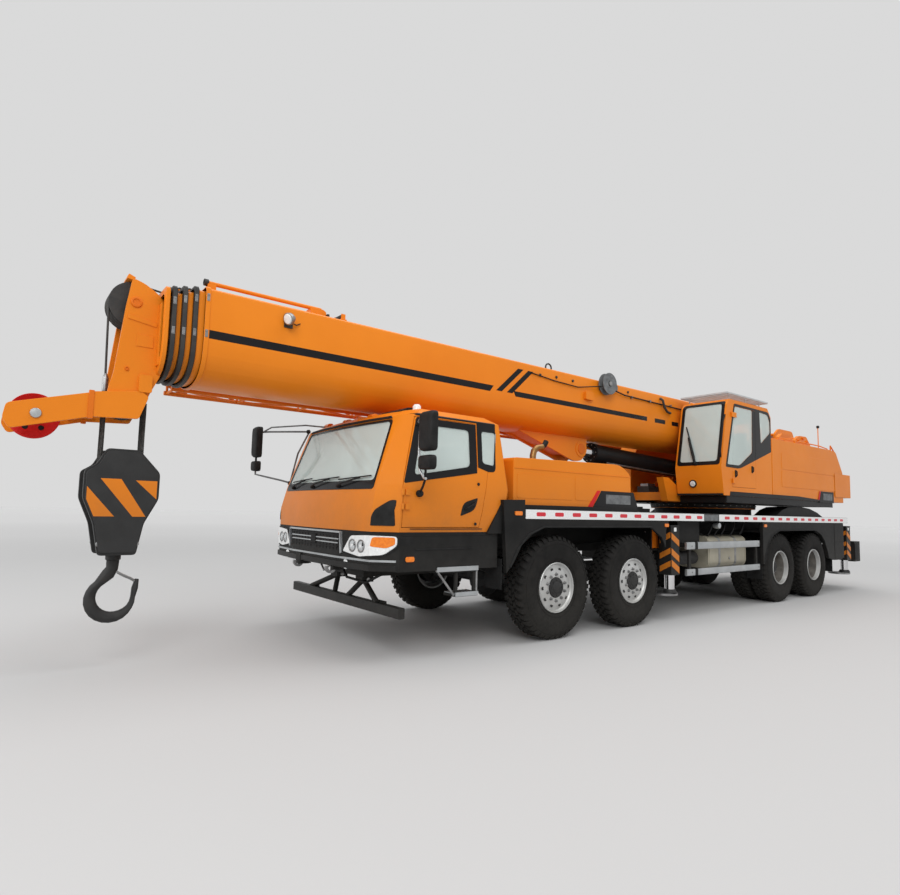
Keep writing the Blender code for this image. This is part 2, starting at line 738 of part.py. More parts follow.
# ---------------------------------------------------------------- outriggers
def outrigger_beam(name, centre, side):
    """Sliding beam with the upright jack box on its outer end."""
    x = centre - side * BEAM_OFFSET
    half = BEAM_W / 2
    base = box(name, (x - half, x + half), sorted((-side * 1.12, side * 1.22)), BEAM_Z)
    head = box(name + " jack box", (centre - 0.105, centre + 0.105), sorted((side * 1.17, side * 1.375)), (0.62, 1.32))
    bore = disc_z(name + " bore", (centre, side * JACK_Y), 0.0703, (0.5, 1.25), 20)
    piece(name, base, ORANGE, 0.4, 0.1, origin=(centre, side * 1.17, 1.11))
    modify(base, head, "UNION")
    modify(base, bore, "DIFFERENCE")
    return base


def outrigger_jack(name, centre, side):
    """Jack rod with its round foot."""
    base = disc_z(name, (centre, side * JACK_Y), 0.07, (FOOT_Z + 0.03, 1.22), 20)
    foot = disc_z(name + " foot", (centre, side * (JACK_Y - 0.10)), 0.20, (FOOT_Z, FOOT_Z + 0.05), 24)
    return piece(name, base, STEEL, 0.35, 0.8, add=(foot,), origin=(centre, side * JACK_Y, FOOT_Z))


# ---------------------------------------------------------------- superstructure
def turntable():
    """Slewing platform with boom-foot cheeks and the cylinder's lower cheeks."""
    base = disc_z("turntable", (SLEW_X, 0.0), TURNTABLE_R, (1.60 + GAP, 1.76), 32)
    parts = [box("platform", (-8.25, -3.95), (-0.54, 0.54), (1.74, 1.82))]
    front = [(-4.0, 1.70), (-3.60, 1.70), (-3.46, 2.09), (-3.62, 2.09), (-4.0, 1.90)]
    cheek = [
        (-8.20, 1.78),
        (-4.30, 1.78),
        (-5.60, 2.50),
        (-6.62, 3.02),
        (-6.80, 3.22),
        (-7.10, 3.28),
        (-7.30, 3.10),
        (-7.55, 2.60),
        (-8.20, 2.40),
    ]
    for side in (1, -1):
        parts.append(prism_y("boom cheek", cheek, sorted((side * 0.50, side * 0.54))))
        lug = [(-5.45, 1.78), (-4.75, 1.78), (-4.95, 2.40), (-5.02, 2.45), (-5.18, 2.45), (-5.25, 2.40)]
        parts.append(prism_y("cylinder cheek", lug, sorted((side * 0.1553, side * 0.19))))
        parts.append(prism_y("front horn", front, sorted((side * 0.42, side * 0.54))))
    parts.append(disc_y("boom foot pin", BOOM_FOOT, 0.07, (-0.52, 0.52), 32))
    parts.append(disc_y("cylinder foot pin", LUFF_LOWER, 0.059, (-0.17, 0.17), 16))
    parts.append(box("front bar", (-3.98, -3.86), (-0.50, 0.50), (1.72, 1.86)))
    return piece("turntable", base, ORANGE, 0.4, 0.1, add=parts, origin=(SLEW_X, 0.0, 1.60))


OP_CAB_SIDE = (
    (-3.86, 1.80),
    (-3.79, 2.25),
    (-4.00, 3.28),
    (-4.08, 3.37),
    (-5.40, 3.37),
    (-5.52, 3.22),
    (-5.52, 1.80),
)


def inset_outline(points, inset):
    """Pull a convex outline in by a fixed distance."""
    count = len(points)
    area = sum(points[i][0] * points[(i + 1) % count][1] - points[(i + 1) % count][0] * points[i][1]
               for i in range(count))
    turn = 1.0 if area > 0 else -1.0
    moved = []
    for i in range(count):
        before, here, after = (Vector(points[i - 1]), Vector(points[i]), Vector(points[(i + 1) % count]))
        first = (here - before).normalized()
        second = (after - here).normalized()
        n1 = Vector((-first.y, first.x)) * turn
        n2 = Vector((-second.y, second.x)) * turn
        scale = inset / (1.0 + n1.dot(n2))
        moved.append(tuple(here + (n1 + n2) * scale))
    return moved


def op_door_outline(shrink):
    return [
        (-4.13 - shrink, 1.94 + shrink),
        (-4.22 - shrink, 3.27 - shrink),
        (-4.93 + shrink, 3.27 - shrink),
        (-4.93 + shrink, 1.94 + shrink),
    ]


def opcab_windscreen_outline(shrink):
    y0, y1 = OP_CAB_Y
    return [
        (y0 + 0.07 + shrink, 2.33 + shrink),
        (y1 - 0.07 - shrink, 2.33 + shrink),
        (y1 - 0.07 - shrink, 3.22 - shrink),
        (y0 + 0.07 + shrink, 3.22 - shrink),
    ]


def opcab_shell():
    y0, y1 = OP_CAB_Y
    wall = OP_CAB_WALL
    base = prism_y("opcab", OP_CAB_SIDE, (y0, y1))
    inside = prism_y("opcab inside", inset_outline(OP_CAB_SIDE, wall), (y0 + wall, y1 - wall))
    rear_pane = [(-5.08, 2.95), (-5.08, 3.27), (-5.46, 3.27), (-5.46, 2.78), (-5.30, 2.78)]
    right_pane = [(-4.12, 2.45), (-4.25, 3.22), (-5.35, 3.22), (-5.35, 2.45)]
    cuts = (
        inside,
        prism_y("op door way", op_door_outline(0.0), (1.2, 1.5)),
        prism_y("left rear light", rear_pane, (1.2, 1.5)),
        prism_y("right light", right_pane, (0.4, 0.7)),
        prism_x("op windscreen way", opcab_windscreen_outline(0.0), (-4.15, -3.6)),
        box("op rear light", (-5.7, -5.3), (0.70, 1.22), (2.75, 3.15)),
    )
    return piece("opcab_shell", base, ORANGE, 0.35, 0.1, cut=cuts)


def opcab_door():
    y1 = OP_CAB_Y[1]
    base = prism_y("opcab_door", op_door_outline(0.006), (y1 - OP_CAB_WALL, y1))
    pane = [(-4.20, 2.30), (-4.27, 3.20), (-4.84, 3.20), (-4.82, 2.54), (-4.40, 2.30)]
    window = prism_y("op door window", pane, (1.2, 1.5))
    piece("opcab_door", base, ORANGE, 0.35, 0.1, cut=(window,), origin=(*OP_HINGE, 1.94))
    for low, edge in ((2.00, -4.20), (3.08, -4.27)):
        height = (low, low + 0.08)
        modify(base, box("hinge leaf", (edge, OP_HINGE[0]), (y1 + 0.0013, y1 + 0.022), height), "UNION")
        modify(base, box("hinge foot", (edge, edge + 0.05), (y1 - 0.02, y1 + 0.02), height), "UNION")
        modify(base, disc_z("hinge barrel", OP_HINGE, 0.0148, height, 12), "UNION")
    return base


def opcab_windscreen():
    wall = OP_CAB_WALL
    outer = prism_y("opcab_windscreen", inset_outline(OP_CAB_SIDE, 0.004), OP_CAB_Y)
    inner = prism_y("op glass inside", inset_outline(OP_CAB_SIDE, 0.016), (0.0, 2.0))
    pane = prism_x("op glass edge", opcab_windscreen_outline(GAP), (-4.15, -3.6))
    return piece("opcab_windscreen", outer, GLASS, 0.05, alpha=0.4, cut=(inner,), keep=(pane,))


def opcab_seat():
    """Seat with armrest consoles on a plinth."""
    floor = OP_CAB_SIDE[0][1] + OP_CAB_WALL
    base = box("opcab seat", (-5.10, -4.45), (0.72, 1.20), (floor + GAP, 2.05))
    back = [(-5.05, 2.20), (-4.90, 2.20), (-4.98, 2.95), (-5.12, 2.95)]
    parts = [
        box("cushion", (-5.05, -4.50), (0.74, 1.18), (2.00, 2.30)),
        prism_y("seat back", back, (0.75, 1.17)),
    ]
    return piece("opcab_seat", base, TRIM, 0.7, add=parts)


def superstructure_housing():
    """Machinery hoods on both sides, joined behind the boom foot."""
    low = 1.80
    left = [(-5.56, low), (-5.56, 2.86), (-8.14, 2.86), (-8.42, 2.84), (-8.76, 2.42), (-8.76, low)]
    right = [(-4.10, low), (-4.10, 2.40), (-4.40, 2.86), (-8.14, 2.86), (-8.42, 2.84), (-8.76, 2.42), (-8.76, low)]
    base = prism_y("housing", left, (0.5403, 1.36))
    parts = [
        prism_y("right hood", right, (-1.36, -0.5403)),
        box("rear bridge", (-8.76, -8.28), (-0.60, 0.60), (1.85, 2.50)),
        box("cab shelf", (-5.60, -3.95), (0.5403, 1.34), (1.68, 1.80 - GAP)),
        box("left sill", (-8.20, -3.96), (1.0, 1.34), (1.69, 1.85)),
        box("right sill", (-8.20, -3.96), (-1.34, -1.0), (1.69, 1.85)),
    ]
    cuts = [
        box("cab bay", (-5.56, -3.70), (0.50, 1.50), (1.80 - GAP, 3.5)),
        disc_z("ring room", (SLEW_X, 0.0), TURNTABLE_R + GAP, (1.5, 1.7603), 32),
    ]
    return piece("superstructure_housing", base, ORANGE, 0.38, 0.1, add=parts, cut=cuts)


def counterweight():
    """Cast block across the tail with arms along both sides."""
    half = [(-9.27, 0.0), (-9.27, 1.10), (-9.13, 1.36), (-8.30, 1.365), (-8.30, 1.3603), (-8.7603, 1.3603), (-8.7603, 0.0)]
    outline = half + [(px, -py) for px, py in reversed(half[1:-1])]
    base = prism_z("counterweight", outline, (1.91, 2.39))
    return piece("counterweight", base, ORANGE, 0.45, 0.1)


def winches():
    """Main and auxiliary winch drums in one frame behind the boom foot."""
    side_plate = [(-8.72, 2.5003), (-8.30, 2.5003), (-7.78, 2.90), (-7.78, 3.25), (-7.95, 3.36), (-8.60, 3.36), (-8.72, 3.15)]
    base = prism_y("winches", side_plate, (0.40, 0.45))
    parts = [prism_y("winch plate", side_plate, (-0.45, -0.40))]
    for x, z in ((-8.06, 3.06), (-8.48, 2.93)):
        parts.append(disc_y("winch drum", (x, z), 0.15, (-0.425, 0.425), 14))
        for side in (1, -1):
            parts.append(disc_y("drum flange", (x, z), 0.20, sorted((side * 0.33, side * 0.36)), 14))
    return piece("winches", base, ORANGE, 0.45, 0.2, add=parts)


# ---------------------------------------------------------------- boom
def boom_outline(half_w, low, high):
    """Section of a boom tube: flat top and sides, rounded underside."""
    height = high - low
    half = [
        (half_w - 0.05, high),
        (half_w, high - 0.05),
        (half_w, low + 0.40 * height),
        (half_w * 0.93, low + 0.20 * height),
        (half_w * 0.72, low + 0.075 * height),
        (half_w * 0.38, low + 0.012 * height),
        (0.0, low),
    ]
    return half + [(-py, pz) for py, pz in reversed(half[:-1])]


def section_size(number):
    """Half width, underside and top of boom section 0 to 4."""
    side = number * (BOOM_WALL + BOOM_CLEAR)
    under = number * (BOOM_WALL + GAP)
    return BOOM_HALF_W - side, BOOM_Z[0] + under, BOOM_Z[1] - side


def tube(name, number):
    """Hollow boom section with its front collar."""
    half_w, low, high = section_size(number)
    x = (BOOM_REARS[number], BOOM_FRONTS[number])
    base = prism_x(name, boom_outline(half_w, low, high), x)
    room = boom_outline(half_w - BOOM_WALL, low + BOOM_WALL, high - BOOM_WALL)
    hollow = prism_x(name + " hollow", room, (x[0] - 0.2, x[1] + 0.2))
    grow = 0.010 + 0.012 * number
    collar_x = (x[1] - 0.04, x[1])
    collar = prism_x(name + " collar", boom_outline(half_w + grow, low - grow, high + grow), collar_x)
    return base, collar, hollow


def boom_base():
    base, collar, hollow = tube("boom base", 0)
    parts = [collar]
    half_w = BOOM_HALF_W
    foot = arc(BOOM_FOOT, 0.22, 100, 260, 8) + [(-6.30, 2.74), (-6.30, 3.30)]
    bracket = [(-0.36, 2.64), (-1.62, 2.27), (-1.72, 2.25), (-1.86, 2.27), (-1.98, 2.40), (-1.98, 2.64)]
    after = []
    for side in (1, -1):
        after.append(prism_y("foot plate", foot, sorted((side * 0.38, side * 0.4997))))
        after.append(prism_y("cylinder bracket", bracket, sorted((side * 0.12, side * 0.16))))
    after.append(box("boom heel", (-6.72, -6.66), (-0.42, 0.42), (2.80, 3.40)))
    after.append(box("top block", (2.52, 2.70), (0.14, 0.26), (3.47, 3.61)))
    after.append(box("top foot", (3.68, 3.76), (0.17, 0.23), (3.47, 3.61)))
    after.append(rod("top tube", (3.77, 0.20, 3.62), (2.56, 0.20, 3.62), 0.022))
    after.append(box("bracket web", (-1.20, -0.60), (-0.15, 0.15), (2.56, 2.64)))
    bore = disc_y("foot bore", BOOM_FOOT, 0.0708, (-0.6, 0.6), 32)
    piece("boom_base", base, ORANGE, 0.35, 0.1, add=parts, cut=(hollow,), origin=(BOOM_FOOT[0], 0.0, BOOM_FOOT[1]))
    for other in after:
        modify(base, other, "UNION")
    inner_w, inner_low, inner_high = section_size(0)
    keep_clear = prism_x(
        "base inner way",
        boom_outline(inner_w - BOOM_WALL, inner_low + BOOM_WALL, inner_high - BOOM_WALL), (-6.45, 3.9),
    )
    modify(base, keep_clear, "DIFFERENCE")
    modify(base, bore, "DIFFERENCE")
    return base


def boom_section(number):
    name = "boom_section_%d" % (number + 1)
    base, collar, hollow = tube(name, number)
    return piece(name, base, ORANGE, 0.35, 0.1, add=(collar,), cut=(hollow,))


def boom_head():
    """Innermost section with the head plates and both sheave sets."""
    name = "boom_section_5"
    base, collar, hollow = tube(name, 4)
    piece(name, base, ORANGE, 0.35, 0.1, add=(collar,), cut=(hollow,))
    plate = [
        (4.12, 3.36),
        (4.20, 3.44),
        (4.34, 3.50),
        (4.50, 3.46),
        (4.52, 3.28),
        (4.47, 2.75),
        (4.54, 2.44),
        (4.46, 2.24),
        (4.28, 2.22),
        (4.22, 2.50),
        (4.12, 2.68),
    ]
    for side in (1, -1):
        modify(base, prism_y("head plate", plate, sorted((side * 0.17, side * 0.205))), "UNION")
    modify(base, box("head wall", (4.13, 4.17), (-0.30, 0.30), (2.72, 3.30)), "UNION")
    modify(base, box("head web", (4.15, 4.30), (-0.18, 0.18), (2.75, 3.00)), "UNION")
    x, z, r = HEAD_SHEAVE
    modify(base, disc_y("head sheaves", (x, z), r, (-0.12, 0.12), 24), "UNION")
    modify(base, disc_y("head axle", (x, z), 0.05, (-0.19, 0.19), 12), "UNION")
    x, z, r = LOWER_SHEAVE
    modify(base, disc_y("lower sheaves", (x, z), r, (-0.12, 0.12), 24), "UNION")
    modify(base, disc_y("lower axle", (x, z), 0.04, (-0.19, 0.19), 12), "UNION")
    return base


def nose():
    """Folding nose arm that carries the single-line sheave."""
    plate = [(4.30, 2.30), (4.30, 2.46), (4.66, 2.41), (5.24, 2.24), (5.26, 2.12), (5.21, 2.04), (4.66, 2.20)]
    base = prism_y("nose", plate, (0.2053, 0.235))
    parts = [prism_y("nose right", plate, (-0.235, -0.2053))]
    parts.append(box("nose bar", (4.64, 4.80), (-0.22, 0.22), (2.22, 2.36)))
    x, z, _ = NOSE_SHEAVE
    parts.append(disc_y("nose pin", (x, z), 0.039, (-0.25, 0.25), 16))
    return piece("nose", base, ORANGE, 0.4, 0.1, add=parts)


def nose_sheave():
    x, z, r = NOSE_SHEAVE
    profile = [(0.0403, -0.06), (0.0403, 0.06), (0.07, 0.06), (0.08, 0.025), (r - 0.04, 0.025), (r, 0.045),
               (r - 0.03, 0.0), (r, -0.045), (r - 0.04, -0.025), (0.08, -0.025), (0.07, -0.06)]
    body = turned("nose sheave", profile, (x, 0.0, z), (0, 1, 0), 20)
    return piece("nose_sheave", body, RED, 0.4, origin=(x, 0.0, z))


def jib():
    """Lattice extension stowed along the boom's right side."""
    x0, x1 = -3.95, 3.86
    y0, y1 = -1.00, -0.62
    z0, z1 = 2.66, 3.06
    base = box("jib", (x0, x1), (y0, y1), (z0, z1))
    chord = 0.05
    cuts = [box("jib core", (x0 - 0.1, x1 + 0.1), (y0 + chord, y1 - chord), (z0 + chord, z1 - chord))]
    bays = 7
    pitch = (x1 - x0 - chord) / bays
    for i in range(bays):
        a = x0 + chord + i * pitch
        b = a + pitch - chord
        cuts.append(box("jib side bay", (a, b), (y0 - 0.1, y1 + 0.1), (z0 + chord, z1 - chord)))
        cuts.append(box("jib top bay", (a, b), (y0 + chord, y1 - chord), (z0 - 0.1, z1 + 0.1)))
    piece("jib", base, ORANGE, 0.4, 0.1, cut=cuts)
    for x in (x0 + chord / 2 + pitch, x0 + chord / 2 + 6 * pitch):
        arm = box("jib arm", (x - 0.03, x + 0.03), (-0.64, -BOOM_HALF_W - GAP), (z1 - 0.045, z1 - 0.005))
        modify(base, arm, "UNION")
    return base


# ---------------------------------------------------------------- luffing cylinder
def luff_line():
    low = Vector((LUFF_LOWER[0], 0.0, LUFF_LOWER[1]))
    high = Vector((LUFF_UPPER[0], 0.0, LUFF_UPPER[1]))
    return low, (high - low).normalized(), (high - low).length


def luff_barrel():
    low, way, length = luff_line()
    profile = [
        (0.0, 0.05),
        (0.10, 0.05),
        (0.15, 0.18),
        (BARREL_R, length - 0.50),
        (BARREL_R + 0.012, length - 0.49),
        (BARREL_R + 0.012, length - 0.40),
        (ROD_R + 0.0003, length - 0.40),
        (ROD_R + 0.0003, 0.30),
        (0.0, 0.30),
    ]
    base = turned("luff barrel", profile, tuple(low), tuple(way), 24)
    eye = disc_y("barrel eye", LUFF_LOWER, 0.14, (-0.155, 0.155), 24)
    bore = disc_y("barrel eye bore", LUFF_LOWER, 0.0603, (-0.3, 0.3), 16)
    return piece(
        "luff_barrel", base, BLACK, 0.35, 0.3, add=(eye,), cut=(bore,), origin=(LUFF_LOWER[0], 0.0, LUFF_LOWER[1]),
    )


def luff_rod():
    low, way, length = luff_line()
    base = rod("luff rod", tuple(low + way * 0.34), tuple(low + way * (length - 0.05)), ROD_R - 0.001, 24)
    eye = disc_y("rod eye", LUFF_UPPER, 0.13, (-0.1197, 0.1197), 24)
    bore = disc_y("rod eye bore", LUFF_UPPER, 0.05, (-0.3, 0.3), 16)
    return piece("luff_rod", base, STEEL, 0.2, 0.9, add=(eye,), cut=(bore,), origin=(LUFF_UPPER[0], 0.0, LUFF_UPPER[1]))


# ---------------------------------------------------------------- hook
def rope_loop():
    """Falls of rope from the lower head sheaves, round the block's sheaves."""
    x, top, r = LOWER_SHEAVE
    z = BLOCK_SHEAVE_Z
    inner = r + GAP
    outer = inner + ROPE_T
    outline = [(x + inner, top)] + arc((x, z), inner, 0, -180, 12) + [(x - inner, top), (x - outer, top)]
    outline += arc((x, z), outer, -180, 0, 12) + [(x + outer, top)]
    base = prism_y("hoist rope", outline, (-0.11, 0.11))
    return piece("hoist_rope", base, GREY, 0.6, 0.5, origin=(x, 0.0, top))


def hook_block():
    """Two cheeks round the sheaves, closed below by the swivel head."""
    x, top, r = LOWER_SHEAVE
    cheek = [
        (x - 0.13, 1.94),
        (x + 0.13, 1.94),
        (x + 0.20, 1.80),
        (x + 0.29, 1.74),
        (x + 0.29, 1.50),
        (x + 0.20, 1.28),
        (x + 0.15, 1.00),
        (x - 0.15, 1.00),
        (x - 0.20, 1.28),
        (x - 0.31, 1.50),
        (x - 0.31, 1.74),
        (x - 0.22, 1.84),
    ]
    base = prism_y("hook block", cheek, (0.13, 0.20))
    parts = [
        prism_y("hook block right", cheek, (-0.20, -0.13)),
        box("swivel head", (x - 0.13, x + 0.13), (-0.15, 0.15), (1.0, 1.26)),
        disc_y("block sheaves", (x, BLOCK_SHEAVE_Z), r, (-0.12, 0.12), 24),
        disc_y("block axle", (x, BLOCK_SHEAVE_Z), 0.05, (-0.15, 0.15), 12),
    ]
    return piece("hook_block", base, BLACK, 0.5, 0.2, add=parts)


def hook():
    """Single hook with its shank, open to the rear."""
    x = LOWER_SHEAVE[0]
    centre = (x - 0.01, 0.615)
    outline = [(x - 0.05, 0.9997), (x - 0.055, 0.86), (x + 0.03, 0.745)]
    outline += arc(centre, 0.115, 60, -200, 12)
    outline += [(x - 0.22, 0.80)]
    outline += arc(centre, 0.225, -200, 40, 14)
    outline += [(x + 0.055, 0.86), (x + 0.05, 0.9997)]
    base = prism_y("hook", outline, (-0.05, 0.05))
    return piece("hook", base, BLACK, 0.45, 0.5, origin=(x, 0.0, 1.0))


# ---------------------------------------------------------------- build
carrier_frame()
deck()
engine()
engine_cover()
cab_shell()
windscreen()
cab_interior()
front_fascia()
underrun_bar()
fuel_tank()
tool_box()
side_guard("side_guard_left", 1)
side_guard("side_guard_right", -1)
front_axle_set()
rear_axle_set()

for side, hand in ((1, "left"), (-1, "right")):
    cab_door("cab_door_" + hand, side)
    head, arms = mirror("mirror_" + hand, side)
    origin = (*CAB_HINGE, 1.24) if side > 0 else None
    piece("mirror_" + hand, head, BLACK, 0.5, add=arms, origin=origin)
    for number, axle_x in enumerate(FRONT_AXLES, 1):
        knuckle("knuckle_%d_%s" % (number, hand), axle_x, side)
        single_wheel("wheel_%d_%s" % (number, hand), axle_x, side)
    for number, axle_x in enumerate(REAR_AXLES, 3):
        twin_wheel("wheel_%d_%s" % (number, hand), axle_x, side)
    for end, centre in zip(("front", "rear"), OUTRIGGER_X):
        outrigger_beam("outrigger_beam_%s_%s" % (end, hand), centre, side)
        outrigger_jack("outrigger_jack_%s_%s" % (end, hand), centre, side)

turntable()
opcab_shell()
opcab_door()
opcab_windscreen()
opcab_seat()
superstructure_housing()
counterweight()
winches()
boom_base()
boom_section(1)
boom_section(2)
boom_section(3)
boom_head()
nose()
nose_sheave()
jib()
luff_barrel()
luff_rod()
rope_loop()
hook_block()
hook()
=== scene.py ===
"""Looks for the four-axle truck crane: detailed pieces, materials, light and camera."""
import json
import math

import bmesh
import bpy
from mathutils import Matrix, Vector


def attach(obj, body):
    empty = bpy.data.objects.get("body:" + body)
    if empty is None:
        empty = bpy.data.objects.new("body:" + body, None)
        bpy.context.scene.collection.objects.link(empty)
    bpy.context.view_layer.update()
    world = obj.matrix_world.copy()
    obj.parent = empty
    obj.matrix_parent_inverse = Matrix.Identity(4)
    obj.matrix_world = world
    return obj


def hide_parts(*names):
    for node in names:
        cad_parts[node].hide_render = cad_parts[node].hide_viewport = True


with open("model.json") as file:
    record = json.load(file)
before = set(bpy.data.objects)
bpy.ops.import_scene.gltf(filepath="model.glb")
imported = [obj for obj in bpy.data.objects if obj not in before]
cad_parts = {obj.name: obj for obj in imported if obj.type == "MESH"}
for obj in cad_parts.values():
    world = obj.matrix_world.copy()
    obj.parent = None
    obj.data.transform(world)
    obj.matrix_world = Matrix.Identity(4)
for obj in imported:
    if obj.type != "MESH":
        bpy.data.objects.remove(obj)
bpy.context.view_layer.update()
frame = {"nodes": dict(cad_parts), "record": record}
NODES = frame["nodes"]

X0 = 2.145
AXLE_Z = 0.5949
TYRE_R = 0.5945
FRONT_AXLES = (0.0, -1.48)
REAR_AXLES = (-5.77, -7.17)
HANDS = (("left", 1), ("right", -1))
ACROSS = (0, 1, 0)
UP = (0, 0, 1)
FRAME_SIDE = 0.4203
DECK_TOP = 1.4945
HOOD_INNER = 0.5405
NOSE_INNER = 0.2053
HEAD_PIN = (4.37, 2.38)
BLOCK_PIN = (4.37, 1.55)
NOSE_PIN = (5.04, 2.18)
CYLINDER_FOOT = (-5.10, 2.30)
CYLINDER_EYE = (-1.85, 2.45)
SLEW_X = -5.60
OP_HINGE = (-4.13, 1.3753)
DRUMS = ((-8.06, 3.06), (-8.48, 2.93))
OUTRIGGERS = (("front", -2.455), ("rear", -8.90))
ROPE_FALLS = (-0.09, -0.03, 0.03, 0.09)


# ---------------------------------------------------------------- materials
def nodes_of(mat):
    return mat.node_tree.nodes, mat.node_tree.links


def ramp(nodes, links, source, stops):
    made = nodes.new("ShaderNodeValToRGB")
    made.color_ramp.elements[0].position = stops[0][0]
    made.color_ramp.elements[0].color = (*stops[0][1], 1)
    made.color_ramp.elements[1].position = stops[-1][0]
    made.color_ramp.elements[1].color = (*stops[-1][1], 1)
    for place, colour in stops[1:-1]:
        extra = made.color_ramp.elements.new(place)
        extra.color = (*colour, 1)
    links.new(source, made.inputs["Fac"])
    return made.outputs["Color"]


def noise(nodes, links, coords, scale, detail=4.0, rough=0.55):
    made = nodes.new("ShaderNodeTexNoise")
    made.inputs["Scale"].default_value = scale
    made.inputs["Detail"].default_value = detail
    made.inputs["Roughness"].default_value = rough
    links.new(coords, made.inputs["Vector"])
    return made.outputs["Fac"]


def surface(name, dark, light, rough, metal=0.0, scale=3.0, bump=0.02, bump_scale=60.0, coat=0.0,
            rough_spread=0.08, dust=None):
    """A paint, plastic, rubber or metal with uneven tone, sheen and grain."""
    mat = bpy.data.materials.new(name)
    mat.use_nodes = True
    nodes, links = nodes_of(mat)
    shader = nodes["Principled BSDF"]
    coords = nodes.new("ShaderNodeTexCoord").outputs["Object"]
    patches = noise(nodes, links, coords, scale)
    colour = ramp(nodes, links, patches, ((0.30, dark), (0.70, light)))
    if dust is not None:
        split = nodes.new("ShaderNodeSeparateXYZ")
        links.new(coords, split.inputs[0])
        low = nodes.new("ShaderNodeMapRange")
        low.inputs["From Min"].default_value = dust[1]
        low.inputs["From Max"].default_value = dust[2]
        low.inputs["To Min"].default_value = 1.0
        low.inputs["To Max"].default_value = 0.0
        links.new(split.outputs["Z"], low.inputs["Value"])
        specks = noise(nodes, links, coords, scale * 4.0, 6.0, 0.7)
        both = nodes.new("ShaderNodeMath")
        both.operation = "MULTIPLY"
        links.new(low.outputs["Result"], both.inputs[0])
        links.new(specks, both.inputs[1])
        mix = nodes.new("ShaderNodeMix")
        mix.data_type = "RGBA"
        links.new(both.outputs[0], mix.inputs["Factor"])
        links.new(colour, mix.inputs["A"])
        mix.inputs["B"].default_value = (*dust[0], 1)
        colour = mix.outputs["Result"]
    links.new(colour, shader.inputs["Base Color"])
    fine = noise(nodes, links, coords, scale * 6.0, 6.0)
    spread = nodes.new("ShaderNodeMapRange")
    spread.inputs["To Min"].default_value = max(0.02, rough - rough_spread)
    spread.inputs["To Max"].default_value = min(1.0, rough + rough_spread)
    links.new(fine, spread.inputs["Value"])
    links.new(spread.outputs["Result"], shader.inputs["Roughness"])
    shader.inputs["Metallic"].default_value = metal
    shader.inputs["Coat Weight"].default_value = coat
    shader.inputs["Specular IOR Level"].default_value = 0.5 if metal else 0.17
    if coat:
        shader.inputs["Coat Roughness"].default_value = 0.12
    if bump:
        grain = noise(nodes, links, coords, bump_scale, 3.0)
        bumps = nodes.new("ShaderNodeBump")
        bumps.inputs["Strength"].default_value = bump
        bumps.inputs["Distance"].default_value = 0.01
        links.new(grain, bumps.inputs["Height"])
        links.new(bumps.outputs["Normal"], shader.inputs["Normal"])
    return mat


# Glass drawn as a pale, partly opaque sheet: painted reflection that hides the inside; the green tint is the
# glass's own
def glass_with_painted_reflection(name, tint, rough=0.04):
    mat = bpy.data.materials.new(name)
    mat.use_nodes = True
    nodes, links = nodes_of(mat)
    shader = nodes["Principled BSDF"]
    coords = nodes.new("ShaderNodeTexCoord").outputs["Object"]
    reflection_patches = noise(nodes, links, coords, 1.6, 2.0)
    low = tuple(c * 0.93 for c in tint)
    links.new(ramp(nodes, links, reflection_patches, ((0.35, low), (0.65, tint))), shader.inputs["Base Color"])
    shader.inputs["Roughness"].default_value = rough
    # alpha below one leaves a pale sheet over the window: painted reflection
    shader.inputs["Alpha"].default_value = 0.60
    shader.inputs["Specular IOR Level"].default_value = 0.8
    return mat


ORANGE = surface("orange_gloss", (0.73, 0.203, 0.009), (0.80, 0.232, 0.012), 0.38, scale=0.9, bump=0.015,
                 bump_scale=120.0, coat=0.06, dust=((0.40, 0.14, 0.03), 1.2, 2.0))
ORANGE_DEEP = surface("orange_deep", (0.66, 0.145, 0.008), (0.73, 0.175, 0.010), 0.44, scale=2.0, bump=0.03,
                      bump_scale=90.0, coat=0.05)
BLACK = surface("black_satin", (0.007, 0.007, 0.0075), (0.013, 0.013, 0.013), 0.42, scale=2.5, bump=0.03,
                dust=((0.05, 0.047, 0.042), 0.2, 1.4))
CHASSIS = surface("chassis_black", (0.008, 0.008, 0.008), (0.016, 0.0155, 0.015), 0.55, scale=3.0, bump=0.05,
                  dust=((0.055, 0.052, 0.046), 0.1, 1.3))
TRIM = surface("grained_plastic", (0.020, 0.021, 0.022), (0.034, 0.035, 0.036), 0.55, scale=8.0, bump=0.12,
               bump_scale=400.0)
SEAL = surface("rubber_seal", (0.010, 0.010, 0.010), (0.020, 0.020, 0.020), 0.62, scale=12.0, bump=0.05)
TYRE = surface("tyre_rubber", (0.008, 0.0078, 0.0075), (0.017, 0.016, 0.015), 0.80, scale=9.0, bump=0.10,
               bump_scale=180.0, dust=((0.045, 0.042, 0.037), 0.0, 0.9))
SILVER = surface("silver_rim", (0.50, 0.51, 0.51), (0.66, 0.67, 0.67), 0.42, 0.55, scale=7.0, bump=0.04,
                 dust=((0.33, 0.31, 0.27), 0.1, 1.2))
ALLOY = surface("rail_alloy", (0.40, 0.42, 0.43), (0.52, 0.54, 0.55), 0.36, 0.75, scale=5.0, bump=0.03)
STEEL = surface("bare_steel", (0.22, 0.22, 0.22), (0.38, 0.38, 0.38), 0.38, 0.9, scale=9.0, bump=0.05)
CHROME = surface("chrome_rod", (0.62, 0.62, 0.63), (0.78, 0.78, 0.79), 0.12, 1.0, scale=4.0, bump=0.0,
                 rough_spread=0.04)
IRON = surface("cast_iron", (0.014, 0.014, 0.0145), (0.030, 0.029, 0.028), 0.60, 0.2, scale=10.0, bump=0.22,
               bump_scale=150.0)
ROPE = surface("wire_rope", (0.035, 0.034, 0.032), (0.085, 0.083, 0.078), 0.50, 0.7, scale=40.0, bump=0.5,
               bump_scale=300.0)
TANK = surface("tank_beige", (0.33, 0.30, 0.23), (0.44, 0.41, 0.32), 0.42, 0.25, scale=3.0, bump=0.04)
